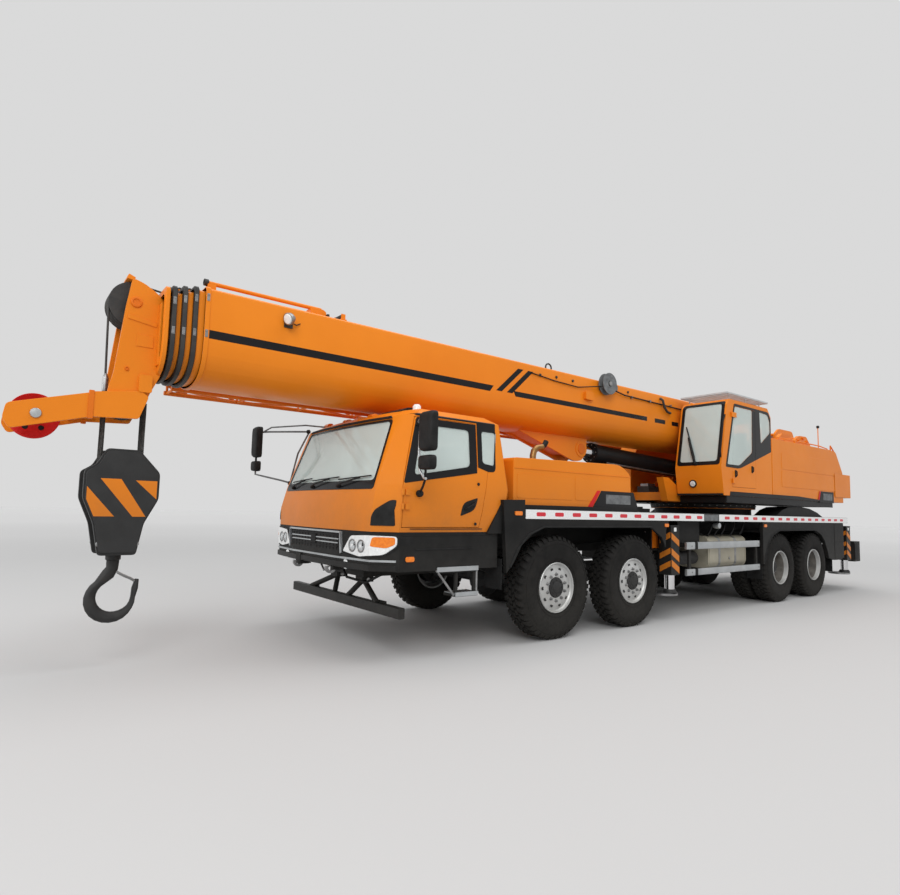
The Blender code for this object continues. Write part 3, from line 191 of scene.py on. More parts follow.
RED = surface("red_nylon", (0.52, 0.012, 0.012), (0.66, 0.02, 0.018), 0.38, scale=5.0, bump=0.04)
GREY = surface("grey_hose", (0.10, 0.105, 0.11), (0.20, 0.21, 0.215), 0.60, scale=14.0, bump=0.25,
               bump_scale=220.0)
WHITE = surface("lamp_white", (0.70, 0.72, 0.72), (0.86, 0.87, 0.87), 0.18, scale=30.0, bump=0.15, coat=0.6)
AMBER = surface("lamp_amber", (0.75, 0.17, 0.01), (0.90, 0.25, 0.02), 0.20, scale=40.0, bump=0.15, coat=0.6)
LAMP_RED = surface("lamp_red", (0.45, 0.01, 0.01), (0.60, 0.02, 0.02), 0.20, scale=40.0, bump=0.15, coat=0.6)
SEAT = surface("seat_cloth", (0.030, 0.032, 0.036), (0.060, 0.063, 0.070), 0.90, scale=25.0, bump=0.35,
               bump_scale=700.0)
# window glass: pale half-opaque sheet as painted reflection, with the glass's own green tint
GLASS = glass_with_painted_reflection("window_glass", (0.72, 0.82, 0.79))
MIRROR = surface("mirror_glass", (0.62, 0.65, 0.66), (0.72, 0.74, 0.75), 0.05, 1.0, scale=1.5, bump=0.0,
                 rough_spread=0.02)
MATS = {
    "orange_paint": ORANGE, "black_paint": CHASSIS, "outrigger_paint": ORANGE_DEEP, "dark_iron": IRON,
    "bright_rod": CHROME, "silver_rail": ALLOY, "tank_paint": TANK, "red_nylon": RED, "glass": GLASS,
    "trim": TRIM, "tyre": TYRE, "rope": ROPE,
}


# ---------------------------------------------------------------- mesh kit
def fresh_object(name, data):
    obj = bpy.data.objects.new(name, data)
    bpy.context.scene.collection.objects.link(obj)
    return obj


def evaluated_mesh(obj):
    graph = bpy.context.evaluated_depsgraph_get()
    return bpy.data.meshes.new_from_object(obj.evaluated_get(graph))


class Kit:
    """Collects closed solids with their own materials into one piece."""

    def __init__(self, name):
        self.name = name
        self.bm = bmesh.new()
        self.mats = []

    def _skin(self, points, faces, mat, smooth=False):
        if mat not in self.mats:
            self.mats.append(mat)
        index = self.mats.index(mat)
        verts = [self.bm.verts.new((x + X0, y, z)) for x, y, z in points]
        made = []
        for face in faces:
            made.append(self.bm.faces.new([verts[i] for i in face]))
        bmesh.ops.recalc_face_normals(self.bm, faces=made)
        for face in made:
            face.material_index = index
            face.smooth = smooth
        return made

    def loft(self, rings, mat, smooth=False, caps=True, loop=False):
        count = len(rings[0])
        points = [p for ring in rings for p in ring]
        faces = []
        if loop:
            rings = list(rings) + [rings[0]]
            caps = False
        if caps:
            faces.append(list(range(count))[::-1])
            faces.append([(len(rings) - 1) * count + i for i in range(count)])
        for level in range(len(rings) - 1):
            low = level * count
            high = (low + count) % len(points)
            for i in range(count):
                j = (i + 1) % count
                faces.append([low + i, low + j, high + j, high + i])
        return self._skin(points, faces, mat, smooth)

    def box(self, x, y, z, mat):
        low = [(x[0], y[0], z[0]), (x[1], y[0], z[0]), (x[1], y[1], z[0]), (x[0], y[1], z[0])]
        return self.loft([low, [(a, b, z[1]) for a, b, _ in low]], mat)

    def prism_y(self, outline, y, mat):
        return self.loft([[(a, side, b) for a, b in outline] for side in y], mat)

    def prism_x(self, outline, x, mat):
        return self.loft([[(side, a, b) for a, b in outline] for side in x], mat)

    def prism_z(self, outline, z, mat):
        return self.loft([[(a, b, side) for a, b in outline] for side in z], mat)

    def rod(self, start, end, radius, mat, steps=12, end_radius=None):
        axis = (Vector(end) - Vector(start)).normalized()
        side = axis.orthogonal().normalized()
        other = axis.cross(side)
        rings = []
        for centre, r in ((Vector(start), radius), (Vector(end), end_radius or radius)):
            rings.append([tuple(centre + side * (r * math.cos(math.tau * i / steps))
                                + other * (r * math.sin(math.tau * i / steps))) for i in range(steps)])
        return self.loft(rings, mat, smooth=True)

    def path(self, points, radius, mat, steps=10):
        """A round tube through points, with mitred bends."""
        spots = [Vector(p) for p in points]
        rings = []
        side = None
        for i, spot in enumerate(spots):
            before = (spot - spots[i - 1]).normalized() if i else None
            after = (spots[i + 1] - spot).normalized() if i + 1 < len(spots) else None
            axis = (before + after).normalized() if before and after else (after or before)
            if side is None:
                side = axis.orthogonal().normalized()
            side = (side - axis * side.dot(axis)).normalized()
            other = axis.cross(side)
            rings.append([tuple(spot + side * (radius * math.cos(math.tau * k / steps))
                                + other * (radius * math.sin(math.tau * k / steps))) for k in range(steps)])
        return self.loft(rings, mat, smooth=True)

    def turned(self, profile, centre, direction, mat, steps=48):
        """(radius, distance) points turned round a line; a loop unless it starts on the line."""
        axis = Vector(direction).normalized()
        side = axis.orthogonal().normalized()
        other = axis.cross(side)
        closed = profile[0][0] > 0
        points, rings = [], []
        for radius, along in profile:
            base = Vector(centre) + axis * along
            if radius == 0:
                rings.append([len(points)] * steps)
                points.append(tuple(base))
                continue
            ring = []
            for i in range(steps):
                angle = math.tau * (i + 0.5) / steps
                ring.append(len(points))
                points.append(tuple(base + side * (radius * math.cos(angle))
                                    + other * (radius * math.sin(angle))))
            rings.append(ring)
        pairs = list(zip(rings, rings[1:]))
        if closed:
            pairs.append((rings[-1], rings[0]))
        faces = []
        for first, second in pairs:
            for i in range(steps):
                j = (i + 1) % steps
                face = []
                for index in (first[i], first[j], second[j], second[i]):
                    if index not in face:
                        face.append(index)
                faces.append(face)
        return self._skin(points, faces, mat, True)

    def boss(self, foot, top, shoulder, height, centre, direction, mat, steps):
        """A round boss: radii at its foot and top, heights of its shoulder and crown."""
        self.turned([(0, 0), (foot, 0), (top, shoulder), (0, height)], centre, direction, mat, steps)

    def pin(self, centre, radius, half, mat, steps):
        """A round pin that lies across the crane."""
        self.turned([(0, -half), (radius, -half), (radius, half), (0, half)], centre, ACROSS, mat, steps)

    def bare(self):
        """The collected solids as an object without materials."""
        mesh = bpy.data.meshes.new(self.name)
        self.bm.to_mesh(mesh)
        self.bm.free()
        return fresh_object(self.name, mesh)

    def make(self, body, replaces=(), bevel=0.0, segments=2, sharp=38.0):
        """Turn the collected solids into a piece that rides on the body."""
        obj = self.bare()
        for mat in self.mats:
            obj.data.materials.append(mat)
        return finish_piece(obj, body, replaces, bevel, segments, sharp)


def finish_piece(obj, body, replaces=(), bevel=0.0, segments=2, sharp=38.0):
    mesh = obj.data
    for face in mesh.polygons:
        face.use_smooth = True
    mesh.set_sharp_from_angle(angle=math.radians(sharp))
    if bevel:
        step = obj.modifiers.new("edges", "BEVEL")
        step.width = bevel
        step.segments = segments
        step.limit_method = "ANGLE"
        step.angle_limit = math.radians(sharp)
        step.harden_normals = True
        step.use_clamp_overlap = True
    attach(obj, body)
    if replaces:
        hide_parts(*replaces)
    return obj


def arc(centre, radius, start, end, steps):
    return [(centre[0] + radius * math.cos(math.radians(start + (end - start) * i / steps)),
             centre[1] + radius * math.sin(math.radians(start + (end - start) * i / steps)))
            for i in range(steps + 1)]


def rounded(points, radii, steps=5):
    """A closed outline with its corners turned into arcs of steps + 1 points."""
    found = []
    count = len(points)
    for i in range(count):
        here = Vector(points[i])
        before = Vector(points[i - 1]) - here
        after = Vector(points[(i + 1) % count]) - here
        r = radii[i] if isinstance(radii, (list, tuple)) else radii
        r = min(r, before.length * 0.49, after.length * 0.49)
        a = here + before.normalized() * r
        b = here + after.normalized() * r
        for k in range(steps + 1):
            t = k / steps
            p = a * (1 - t) ** 2 + here * (2 * t * (1 - t)) + b * t ** 2
            found.append((p.x, p.y))
    return found


def rounded_box(x, z, radius, steps=5):
    """A rectangle with rounded corners."""
    return rounded([(x[0], z[0]), (x[0], z[1]), (x[1], z[1]), (x[1], z[0])], radius, steps)


def about(middle, half):
    return middle - half, middle + half


def beside(out, near, far):
    """A range across the crane on one hand of it, lowest first."""
    return sorted((out * near, out * far))


def outward(face, out, depth):
    """A range from a face away from the middle of the crane, lowest first."""
    return sorted((face, face + out * depth))


def solid(rings_or_outline, axis=None, span=None):
    """A bare mesh object used to cut or keep part of another."""
    kit = Kit("tool")
    if axis is None:
        kit.loft(rings_or_outline, ORANGE)
    else:
        {"x": kit.prism_x, "y": kit.prism_y, "z": kit.prism_z}[axis](rings_or_outline, span, ORANGE)
    return kit.bare()


def carve(name, base, cut=(), keep=(), mat=None):
    """Boolean the base with its tools, apply, and drop the tools."""
    base.name = name
    for operation, tools in (("DIFFERENCE", cut), ("INTERSECT", keep)):
        for tool in tools:
            step = base.modifiers.new("cut", "BOOLEAN")
            step.operation = operation
            step.solver = "EXACT"
            step.object = tool
    mesh = evaluated_mesh(base)
    base.modifiers.clear()
    base.data = mesh
    mesh.materials.clear()
    mesh.materials.append(mat)
    for face in mesh.polygons:
        face.material_index = 0
    for tool in list(cut) + list(keep):
        bpy.data.objects.remove(tool, do_unlink=True)
    return base


# ---------------------------------------------------------------- carried-over CAD nodes
for entry in frame["record"]["subparts"]:
    node = NODES[entry["node"]]
    node.data.materials.clear()
    node.data.materials.append(MATS[entry["material_slot"]])


# ---------------------------------------------------------------- camera, floor and light
CAMERA_SPOT = (5.3101 + X0, 6.1576, 1.4628)
CAMERA_TURN = (-127.878, 4.985, 1.3176)  # yaw, pitch and roll in degrees
SENSOR = 36.0
LENS_SHARE = 596.5 / 900  # focal length as a share of the frame's width


def make_camera():
    yaw, pitch, roll = (math.radians(angle) for angle in CAMERA_TURN)
    ahead = Vector((math.cos(yaw) * math.cos(pitch), math.sin(yaw) * math.cos(pitch), math.sin(pitch)))
    right = Vector((math.sin(yaw), -math.cos(yaw), 0.0))
    up = right.cross(ahead)
    r2 = right * math.cos(roll) + up * math.sin(roll)
    u2 = up * math.cos(roll) - right * math.sin(roll)
    data = bpy.data.cameras.new("camera")
    data.sensor_width = SENSOR
    data.lens = LENS_SHARE * SENSOR
    data.shift_x = -0.003
    data.shift_y = 0.012
    data.clip_end = 400.0
    camera = fresh_object("camera", data)
    turn = Matrix((r2, u2, -ahead)).transposed().to_4x4()
    camera.matrix_world = Matrix.Translation(CAMERA_SPOT) @ turn
    bpy.context.scene.camera = camera


def floor_paint():
    """Pale floor that lightens with distance, where less of the lamps' light falls."""
    mat = surface("studio_floor", (0.50, 0.50, 0.50), (0.52, 0.52, 0.52), 0.75, scale=0.2)
    nodes, links = nodes_of(mat)
    shader = nodes["Principled BSDF"]
    shader.inputs["Specular IOR Level"].default_value = 0.1
    reach = nodes.new("ShaderNodeVectorMath")
    reach.operation = "LENGTH"
    links.new(nodes.new("ShaderNodeTexCoord").outputs["Object"], reach.inputs[0])
    spread = nodes.new("ShaderNodeMapRange")
    spread.inputs["From Max"].default_value = 100.0
    links.new(reach.outputs["Value"], spread.inputs["Value"])
    tone = ramp(nodes, links, spread.outputs["Result"],
                ((0.07, (0.53, 0.53, 0.53)), (0.14, (0.60, 0.60, 0.60)), (0.25, (0.78, 0.78, 0.78)),
                 (0.45, (0.93, 0.93, 0.93)), (0.9, (0.98, 0.98, 0.98))))
    links.new(tone, shader.inputs["Base Color"])
    return mat


def make_studio():
    bm = bmesh.new()
    reach = 140.0
    edges = ((-reach, -reach), (reach, -reach), (reach, reach), (-reach, reach))
    corners = [bm.verts.new((x, y, 0.0)) for x, y in edges]
    bm.faces.new(corners)
    mesh = bpy.data.meshes.new("floor")
    bm.to_mesh(mesh)
    bm.free()
    floor = fresh_object("floor", mesh)
    floor.data.materials.append(floor_paint())
    world = bpy.data.worlds.new("studio")
    bpy.context.scene.world = world
    world.use_nodes = True
    world.node_tree.nodes["Background"].inputs["Color"].default_value = (1.0, 1.0, 1.0, 1)
    world.node_tree.nodes["Background"].inputs["Strength"].default_value = 0.70
    bpy.context.scene.view_settings.view_transform = "Standard"
    for name, place, aim, size, power in (
        ("key", (14.0, 14.0, 13.0), (0.0, 0.0, 1.5), 9.0, 1450.0),
        ("front", (18.0, -2.0, 6.0), (2.0, 0.0, 1.5), 7.0, 480.0),
        ("top", (-2.0, 2.0, 16.0), (-2.0, 0.0, 1.0), 14.0, 1300.0),
    ):
        data = bpy.data.lights.new(name, "AREA")
        data.size = size
        data.energy = power
        lamp = fresh_object(name, data)
        lamp.location = place
        lamp.rotation_euler = (Vector(aim) - Vector(place)).to_track_quat("-Z", "Y").to_euler()


make_camera()
make_studio()

# ---------------------------------------------------------------- wheels
# dark brown-grey for the dish and inner barrel of the rear rims, darker than their silver lip
RIM_DARK = surface("dark_rim_dish", (0.10, 0.092, 0.082), (0.20, 0.185, 0.165), 0.7, 0.3, scale=8.0, bump=0.06)


def polar(x, radius, angle, y):
    return (x + radius * math.sin(angle), y, AXLE_Z + radius * math.cos(angle))


def tyre(kit, x, mid, half):
    """Carcass with beads and bulged walls, carrying two shoulder rows and two centre rows of blocks."""
    side = [(0.284, 0.78), (0.300, 0.87), (0.340, 0.95), (0.42, 1.0), (0.47, 0.99), (0.52, 0.93),
            (0.553, 0.83), (0.573, 0.70), (0.576, 0.0)]
    profile = [(r, half * w) for r, w in side] + [(r, -half * w) for r, w in reversed(side[:-1])]
    kit.turned(profile, (x, mid, AXLE_Z), ACROSS, TYRE, 72)
    for r in (0.335, 0.505):
        for way in (1, -1):
            w = 0.155 if r == 0.335 else 0.1545
            ring = [(r - 0.004, way * (w - 0.012)), (r - 0.003, way * w), (r + 0.003, way * w),
                    (r + 0.004, way * (w - 0.012))]
            kit.turned(ring, (x, mid, AXLE_Z), ACROSS, TYRE, 72)
    pitch = math.tau / 42
    for i in range(42):
        for way in (1, -1):
            at = (i + (0.5 if way < 0 else 0.0)) * pitch
            lug = ((0.565, 0.052), (TYRE_R, 0.052), (TYRE_R, 0.110), (0.583, 0.128), (0.548, 0.143),
                   (0.540, 0.130))
            rings = []
            for k in range(3):
                rings.append([polar(x, r, at + pitch * (0.30 * (k - 1) + 4.0 * (w - 0.05)), mid + way * w)
                              for r, w in lug])
            kit.loft(rings, TYRE)
            block = ((0.570, 0.006), (TYRE_R, 0.006), (TYRE_R, 0.044), (0.570, 0.044))
            rings = []
            for k in range(3):
                rings.append([polar(x, r, at + pitch * (0.5 + 0.36 * (k - 1) - 3.0 * (w - 0.02)),
                                    mid + way * w) for r, w in block])
            kit.loft(rings, TYRE)


def hex_nut(kit, centre, out, radius, length, mat):
    x, y, z = centre
    ring = arc((x, z), radius, 0, 300, 5)
    kit.prism_y(ring, outward(y, out, length), mat)


for hand, out in HANDS:
    face = 1.378 * out
    for number, x in ((1, FRONT_AXLES[0]), (2, FRONT_AXLES[1]), (3, REAR_AXLES[0]), (4, REAR_AXLES[1])):
        body = "wheel_%d_%s" % (number, hand)
        kit = Kit("tyre_%d_%s" % (number, hand))
        tyre(kit, x, face - out * 0.16, 0.16)
        if number > 2:
            tyre(kit, x, face - out * 0.505, 0.16)
        kit.make(body, replaces=(body,), sharp=50)
        kit = Kit("rim_%d_%s" % (number, hand))
        spot = (x, face, AXLE_Z)
        way = (0, out, 0)
        if number < 3:
            kit.turned([(0.290, -0.040), (0.291, -0.016), (0.285, -0.010), (0.277, -0.015), (0.271, -0.036),
                        (0.258, -0.047), (0.240, -0.045), (0.205, -0.033), (0.165, -0.028), (0.120, -0.032),
                        (0.120, -0.060), (0.200, -0.062), (0.250, -0.075), (0.262, -0.110), (0.265, -0.295),
                        (0.288, -0.300), (0.284, -0.26), (0.284, -0.06)], spot, way, SILVER, 64)
            for i in range(10):
                angle = math.tau * (i + 0.5) / 10
                # dark discs stand in for the rim's holes: painted shade in each opening, over the dark drum
                # seen behind it
                hole = polar(x, 0.213, angle, face - out * 0.0345)
                kit.turned([(0, -0.004), (0.019, -0.004), (0.021, 0.0), (0.0205, 0.0018), (0, 0.0008)], hole,
                           way, IRON, 16)
                angle = math.tau * i / 10
                nut = polar(x, 0.152, angle, face - out * 0.030)
                kit.boss(0.021, 0.020, 0.005, 0.005, nut, way, STEEL, 16)
                hex_nut(kit, nut, out, 0.0155, 0.022, STEEL)
                kit.turned([(0, 0.02), (0.008, 0.02), (0.007, 0.030), (0, 0.032)], nut, way, STEEL, 10)
            kit.turned([(0, -0.002), (0.058, -0.002), (0.064, -0.006), (0.070, -0.012), (0.098, -0.014),
                        (0.112, -0.018), (0.118, -0.030), (0.119, -0.07), (0, -0.07)], spot, way, IRON, 40)
            for i in range(8):
                angle = math.tau * i / 8
                bolt = polar(x, 0.086, angle, face - out * 0.014)
                hex_nut(kit, bolt, out, 0.009, 0.007, IRON)
        else:
            kit.turned([(0.290, -0.045), (0.291, -0.018), (0.284, -0.010), (0.274, -0.016), (0.270, -0.040),
                        (0.262, -0.075), (0.268, -0.080), (0.282, -0.050)], spot, way, SILVER, 64)
            kit.turned([(0.264, -0.070), (0.256, -0.10), (0.252, -0.24), (0.236, -0.290), (0.205, -0.305),
                        (0.118, -0.300), (0.118, -0.325), (0.225, -0.330), (0.270, -0.300), (0.284, -0.20),
                        (0.284, -0.10)], spot, way, RIM_DARK, 64)
            kit.turned([(0.284, -0.34), (0.250, -0.34), (0.252, -0.60), (0.284, -0.645)], spot, way,
                       RIM_DARK, 48)
            kit.turned([(0, -0.112), (0.060, -0.112), (0.082, -0.118), (0.090, -0.130), (0.104, -0.135),
                        (0.110, -0.150), (0.110, -0.20), (0.118, -0.30), (0.118, -0.33), (0, -0.33)], spot,
                       way, IRON, 40)
            for i in range(10):
                angle = math.tau * i / 10
                nut = polar(x, 0.155, angle, face - out * 0.302)
                hex_nut(kit, nut, out, 0.016, 0.040, STEEL)
                hub = polar(x, 0.095, angle, face - out * 0.134)
                hex_nut(kit, hub, out, 0.009, 0.010, STEEL)
                angle += math.pi / 10
                # black discs stand in for the rim's holes: painted shade in each opening, over the dark drum
                # seen behind it
                hole = polar(x, 0.216, angle, face - out * 0.303)
                kit.turned([(0, -0.004), (0.020, -0.004), (0.022, 0.002), (0.0205, 0.004), (0, 0.002)], hole,
                           way, SEAL, 16)
        kit.make(body, sharp=35)

# ---------------------------------------------------------------- carrier cab
CAB_RINGS = (
    (1.240, 0.80, 1.25, 1.310, 2.17, (2.37, 1.12), (2.43, 0.55), 2.45),
    (1.450, 0.76, 1.28, 1.330, 2.17, (2.37, 1.12), (2.43, 0.55), 2.45),
    (1.700, 0.72, 1.28, 1.330, 2.14, (2.31, 1.10), (2.36, 0.55), 2.38),
    (2.420, 0.81, 1.20, 1.265, 1.97, (2.05, 1.04), (2.10, 0.55), 2.12),
    (2.500, 0.92, 1.08, 1.140, 1.84, (1.90, 0.92), (1.94, 0.50), 1.96),
)
HINGE = (2.158, 1.3453)
BAND = surface("band_black", (0.008, 0.008, 0.009), (0.014, 0.014, 0.015), 0.22, scale=2.0, bump=0.01)


def cab_solid(inset):
    rings = []
    for level, (z, rear, rear_y, side_y, pillar, corner, brow, nose) in enumerate(CAB_RINGS):
        z += inset if level == 0 else (-inset if level == 4 else 0.0)
        half = [(rear + inset, 0.0), (rear + inset, rear_y - inset), (rear + inset + 0.06, side_y - inset),
                (pillar - inset * 0.4, side_y - inset), (corner[0] - inset, corner[1] - inset * 0.6),
                (brow[0] - inset, brow[1]), (nose - inset, 0.0)]
        outline = half + [(px, -py) for px, py in reversed(half[1:-1])]
        rings.append([(px, py, z) for px, py in outline])
    return solid(rings)


def cab_front(y, z):
    """Where the cab's front face is, at a point across and up."""
    y = abs(y)
    rows = []
    for height, _, _, side_y, pillar, corner, brow, nose in CAB_RINGS:
        line = [(0.0, nose), (brow[1], brow[0]), (corner[1], corner[0]), (side_y, pillar)]
        for (ya, xa), (yb, xb) in zip(line, line[1:]):
            if y <= yb or yb == side_y:
                t = min(1.0, (y - ya) / (yb - ya))
                rows.append((height, xa + (xb - xa) * t))
                break
    for (za, xa), (zb, xb) in zip(rows, rows[1:]):
        if z <= zb or zb == 2.5:
            return xa + (xb - xa) * (z - za) / (zb - za)
    return rows[-1][1]


def patch(name, body, slot, outline, axis, span, mat, out=0.003, thick=0.004, holes=(), bevel=0.0,
          maker=None):
    """A thin skin that follows the surface, cut to an outline."""
    maker = maker or cab_solid
    cuts = [maker(-out + thick)] + [solid(hole, axis, (span[0] - 0.01, span[1] + 0.01)) for hole in holes]
    obj = carve(name, maker(-out), cut=cuts, keep=[solid(outline, axis, span)], mat=mat)
    return finish_piece(obj, body, bevel=bevel, segments=1, sharp=25)


def door_outline(shrink):
    return [(2.150 - shrink, 1.285 + shrink), (2.150 - shrink, 1.690), (1.985 - shrink, 2.395 - shrink),
            (1.200 + shrink, 2.395 - shrink), (1.200 + shrink, 1.930), (1.050 + shrink, 1.890),
            (1.170 + shrink, 1.285 + shrink)]


PANE = rounded([(2.045, 1.775), (1.925, 2.335), (1.285, 2.335), (1.285, 1.905)], [0.05, 0.05, 0.06, 0.06])
QUARTER = rounded([(1.145, 1.955), (0.950, 1.930), (0.910, 2.340), (1.145, 2.340)], [0.03, 0.05, 0.05, 0.03])
SCREEN = rounded([(-1.06, 1.665), (-0.98, 2.375), (0.98, 2.375), (1.06, 1.665)], 0.05)
SCREEN_IN = rounded([(-1.030, 1.745), (-0.960, 2.362), (0.960, 2.362), (1.030, 1.745)], 0.05)
cuts = [cab_solid(0.05), solid(SCREEN, "x", (1.5, 2.7)),
        solid([(-0.55, 1.95), (0.55, 1.95), (0.55, 2.30), (-0.55, 2.30)], "x", (0.6, 1.0))]
for out in (1, -1):
    wide = beside(out, 1.0, 1.5)
    cuts.append(solid(door_outline(0.0), "y", wide))
    cuts.append(solid(QUARTER, "y", wide))
skin = carve("cab_skin", cab_solid(0.0), cut=cuts, mat=ORANGE)
finish_piece(skin, "carrier", ("cab_shell",), bevel=0.007, segments=2, sharp=24)
patch("screen_glass", "carrier", "glass", SCREEN, "x", (1.75, 2.7), GLASS, out=-0.004, thick=0.007)
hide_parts("windscreen")
patch("screen_border", "carrier", "trim",
      rounded([(-1.068, 1.655), (-0.988, 2.386), (0.988, 2.386), (1.068, 1.655)], 0.05), "x", (1.75, 2.7),
      BAND, out=0.004, thick=0.010, holes=(SCREEN_IN,))
patch("roof_edge", "carrier", "trim", [(-0.97, 2.395), (-0.93, 2.425), (0.93, 2.425), (0.97, 2.395)], "x",
      (1.75, 2.7), SEAL, out=0.012, thick=0.014)
kit = Kit("rear_light_glass")
kit.box((0.765, 0.772), (-0.56, 0.56), (1.94, 2.31), GLASS)
kit.make("carrier")

for hand, out in HANDS:
    body = "cab_door_" + hand
    wide = beside(out, 1.05, 1.5)
    door = carve("door_skin_" + hand, cab_solid(0.0), cut=[cab_solid(0.05), solid(PANE, "y", wide)],
                 keep=[solid(door_outline(0.005), "y", wide)], mat=ORANGE)
    finish_piece(door, body, (body,), bevel=0.004, segments=2, sharp=30)
    band = rounded([(2.140, 1.715), (1.978, 2.386), (1.209, 2.386), (1.209, 1.862), (1.330, 1.842)],
                   [0.02, 0.02, 0.005, 0.005, 0.05])
    pane_in = rounded([(2.020, 1.800), (1.910, 2.315), (1.305, 2.315), (1.305, 1.925)], 0.05)
    patch("door_band_" + hand, body, "trim", band, "y", wide, BAND, holes=(pane_in,))
    grown = rounded([(2.060, 1.765), (1.938, 2.350), (1.270, 2.350), (1.270, 1.890)], 0.06)
    patch("door_glass_" + hand, body, "glass", grown, "y", wide, GLASS, out=-0.004, thick=0.007)
    shell_band = [(1.985, 2.432), (0.925, 2.428)] + rounded(
        [(0.925, 2.428), (0.945, 1.885), (1.055, 1.885), (1.193, 1.925)], [0.001, 0.09, 0.01, 0.001])[6:]
    shell_band += [(1.193, 2.404), (1.978, 2.404)]
    quarter_in = rounded([(1.128, 1.975), (0.966, 1.952), (0.928, 2.322), (1.128, 2.322)], 0.035)
    patch("quarter_band_" + hand, "carrier", "trim", shell_band, "y", wide, BAND, holes=(quarter_in,))
    patch("quarter_glass_" + hand, "carrier", "glass",
          rounded([(1.155, 1.945), (0.940, 1.920), (0.900, 2.350), (1.155, 2.350)], 0.04), "y", wide, GLASS,
          out=-0.004, thick=0.007)
    leaf = rounded([(1.436, 1.405), (1.405, 1.545), (1.205, 1.600), (1.245, 1.470)], [0.02, 0.09, 0.02, 0.09])
    patch("handle_recess_" + hand, body, "trim", leaf, "y", wide, SEAL, out=0.004, thick=0.010)
    corner = rounded([(out * 1.285, 1.300), (out * 1.285, 1.550), (out * 1.240, 1.550), (out * 1.130, 1.440),
                      (out * 1.115, 1.300)], [0.015, 0.015, 0.03, 0.12, 0.01])
    patch("corner_vent_" + hand, "carrier", "trim", corner, "x", (2.0, 2.6), SEAL, out=0.006, thick=0.012)
    side = out * 1.33
    kit = Kit("door_fittings_" + hand)
    kit.path([(1.25, side + out * 0.006, 1.545), (1.27, side + out * 0.030, 1.535),
              (1.36, side + out * 0.032, 1.49), (1.385, side + out * 0.006, 1.475)], 0.010, BLACK)
    for x, z in ((1.20, 1.745), (1.235, 1.325)):
        kit.boss(0.017, 0.015, 0.008, 0.010, (x, side, z), (0, out, 0), SEAL, 20)
    for low in (1.46, 1.60):
        kit.box((2.080, 2.130), beside(out, 1.325, 1.352), (low, low + 0.06), ORANGE)
        kit.rod((HINGE[0], out * HINGE[1], low), (HINGE[0], out * HINGE[1], low + 0.06), 0.0146, ORANGE, 16)
    kit.box((2.06, 1.14), beside(out, 1.328, 1.334), (1.268, 1.278), SEAL)
    kit.make(body, bevel=0.0015, segments=1)

# wipers
kit = Kit("wipers")
for start, end in ((0.98, 0.40), (0.38, -0.22), (-0.28, -0.86)):
    def at(y, z, lift):
        return (cab_front(y, z) + lift, y, z)
    base_y = end + 0.02 if end > -0.8 else end + 0.05
    kit.boss(0.024, 0.020, 0.030, 0.034, at(base_y, 1.690, -0.002), (1, 0, 0.35), SEAL, 20)
    mid_y = (start + end) / 2 + 0.12
    kit.path([at(base_y, 1.692, 0.030), at(base_y + 0.10, 1.722, 0.042), at(mid_y, 1.775, 0.030)], 0.009,
             SEAL, 8)
    blade = [at(end + (start - end) * k / 8, 1.762 + 0.028 * k / 8, 0.022) for k in range(9)]
    kit.path(blade, 0.0075, SEAL, 6)
    kit.path([at(end + (start - end) * k / 8, 1.762 + 0.028 * k / 8, 0.012) for k in range(9)], 0.004, SEAL,
             6)
kit.make("carrier")

# roof: air pod, beacon, four marker lamps and a hatch
kit = Kit("roof_fittings")
kit.prism_y(rounded([(1.56, 2.494), (1.66, 2.545), (1.84, 2.545), (1.935, 2.494)], 0.03), (0.46, 0.90), SEAL)
kit.turned([(0, -0.01), (0.050, -0.01), (0.052, 0.015), (0.046, 0.018), (0.044, 0.060), (0.030, 0.080),
            (0, 0.085)], (1.78, 0.98, 2.490), UP, WHITE, 32)
kit.turned([(0, -0.012), (0.060, -0.012), (0.060, 0.006), (0, 0.008)], (1.78, 0.98, 2.490), UP, SEAL, 32)
for y in (0.30, 0.0, -0.30, -0.80):
    kit.prism_y(rounded([(1.87, 2.496), (1.89, 2.530), (1.94, 2.526), (1.965, 2.496)], 0.01),
                about(y, 0.05), AMBER)
kit.prism_z(rounded_box((1.15, 1.65), (-0.45, 0.10), 0.06), (2.490, 2.530), ORANGE)
kit.make("carrier", bevel=0.004)


# ---------------------------------------------------------------- lower front
def fascia_solid(inset):
    half = [(2.43 - inset, 0.55), (2.37 - inset, 1.12 - inset * 0.6), (2.16 - inset * 0.4, 1.31 - inset),
            (0.90, 1.31 - inset)]
    return solid(half + [(px, -py) for px, py in reversed(half)], "z", (0.86 + inset, 1.2397))


def fascia_x(y):
    y = abs(y)
    line = [(0.55, 2.43), (1.12, 2.37), (1.31, 2.16)]
    if y <= 0.55:
        return 2.43
    for (ya, xa), (yb, xb) in zip(line, line[1:]):
        if y <= yb:
            return xa + (xb - xa) * (y - ya) / (yb - ya)
    return 2.16


def fascia_patch(name, slot, outline, mat, out, thick, **more):
    patch(name, "carrier", slot, outline, "x", (2.0, 2.6), mat, out=out, thick=thick, maker=fascia_solid,
          **more)


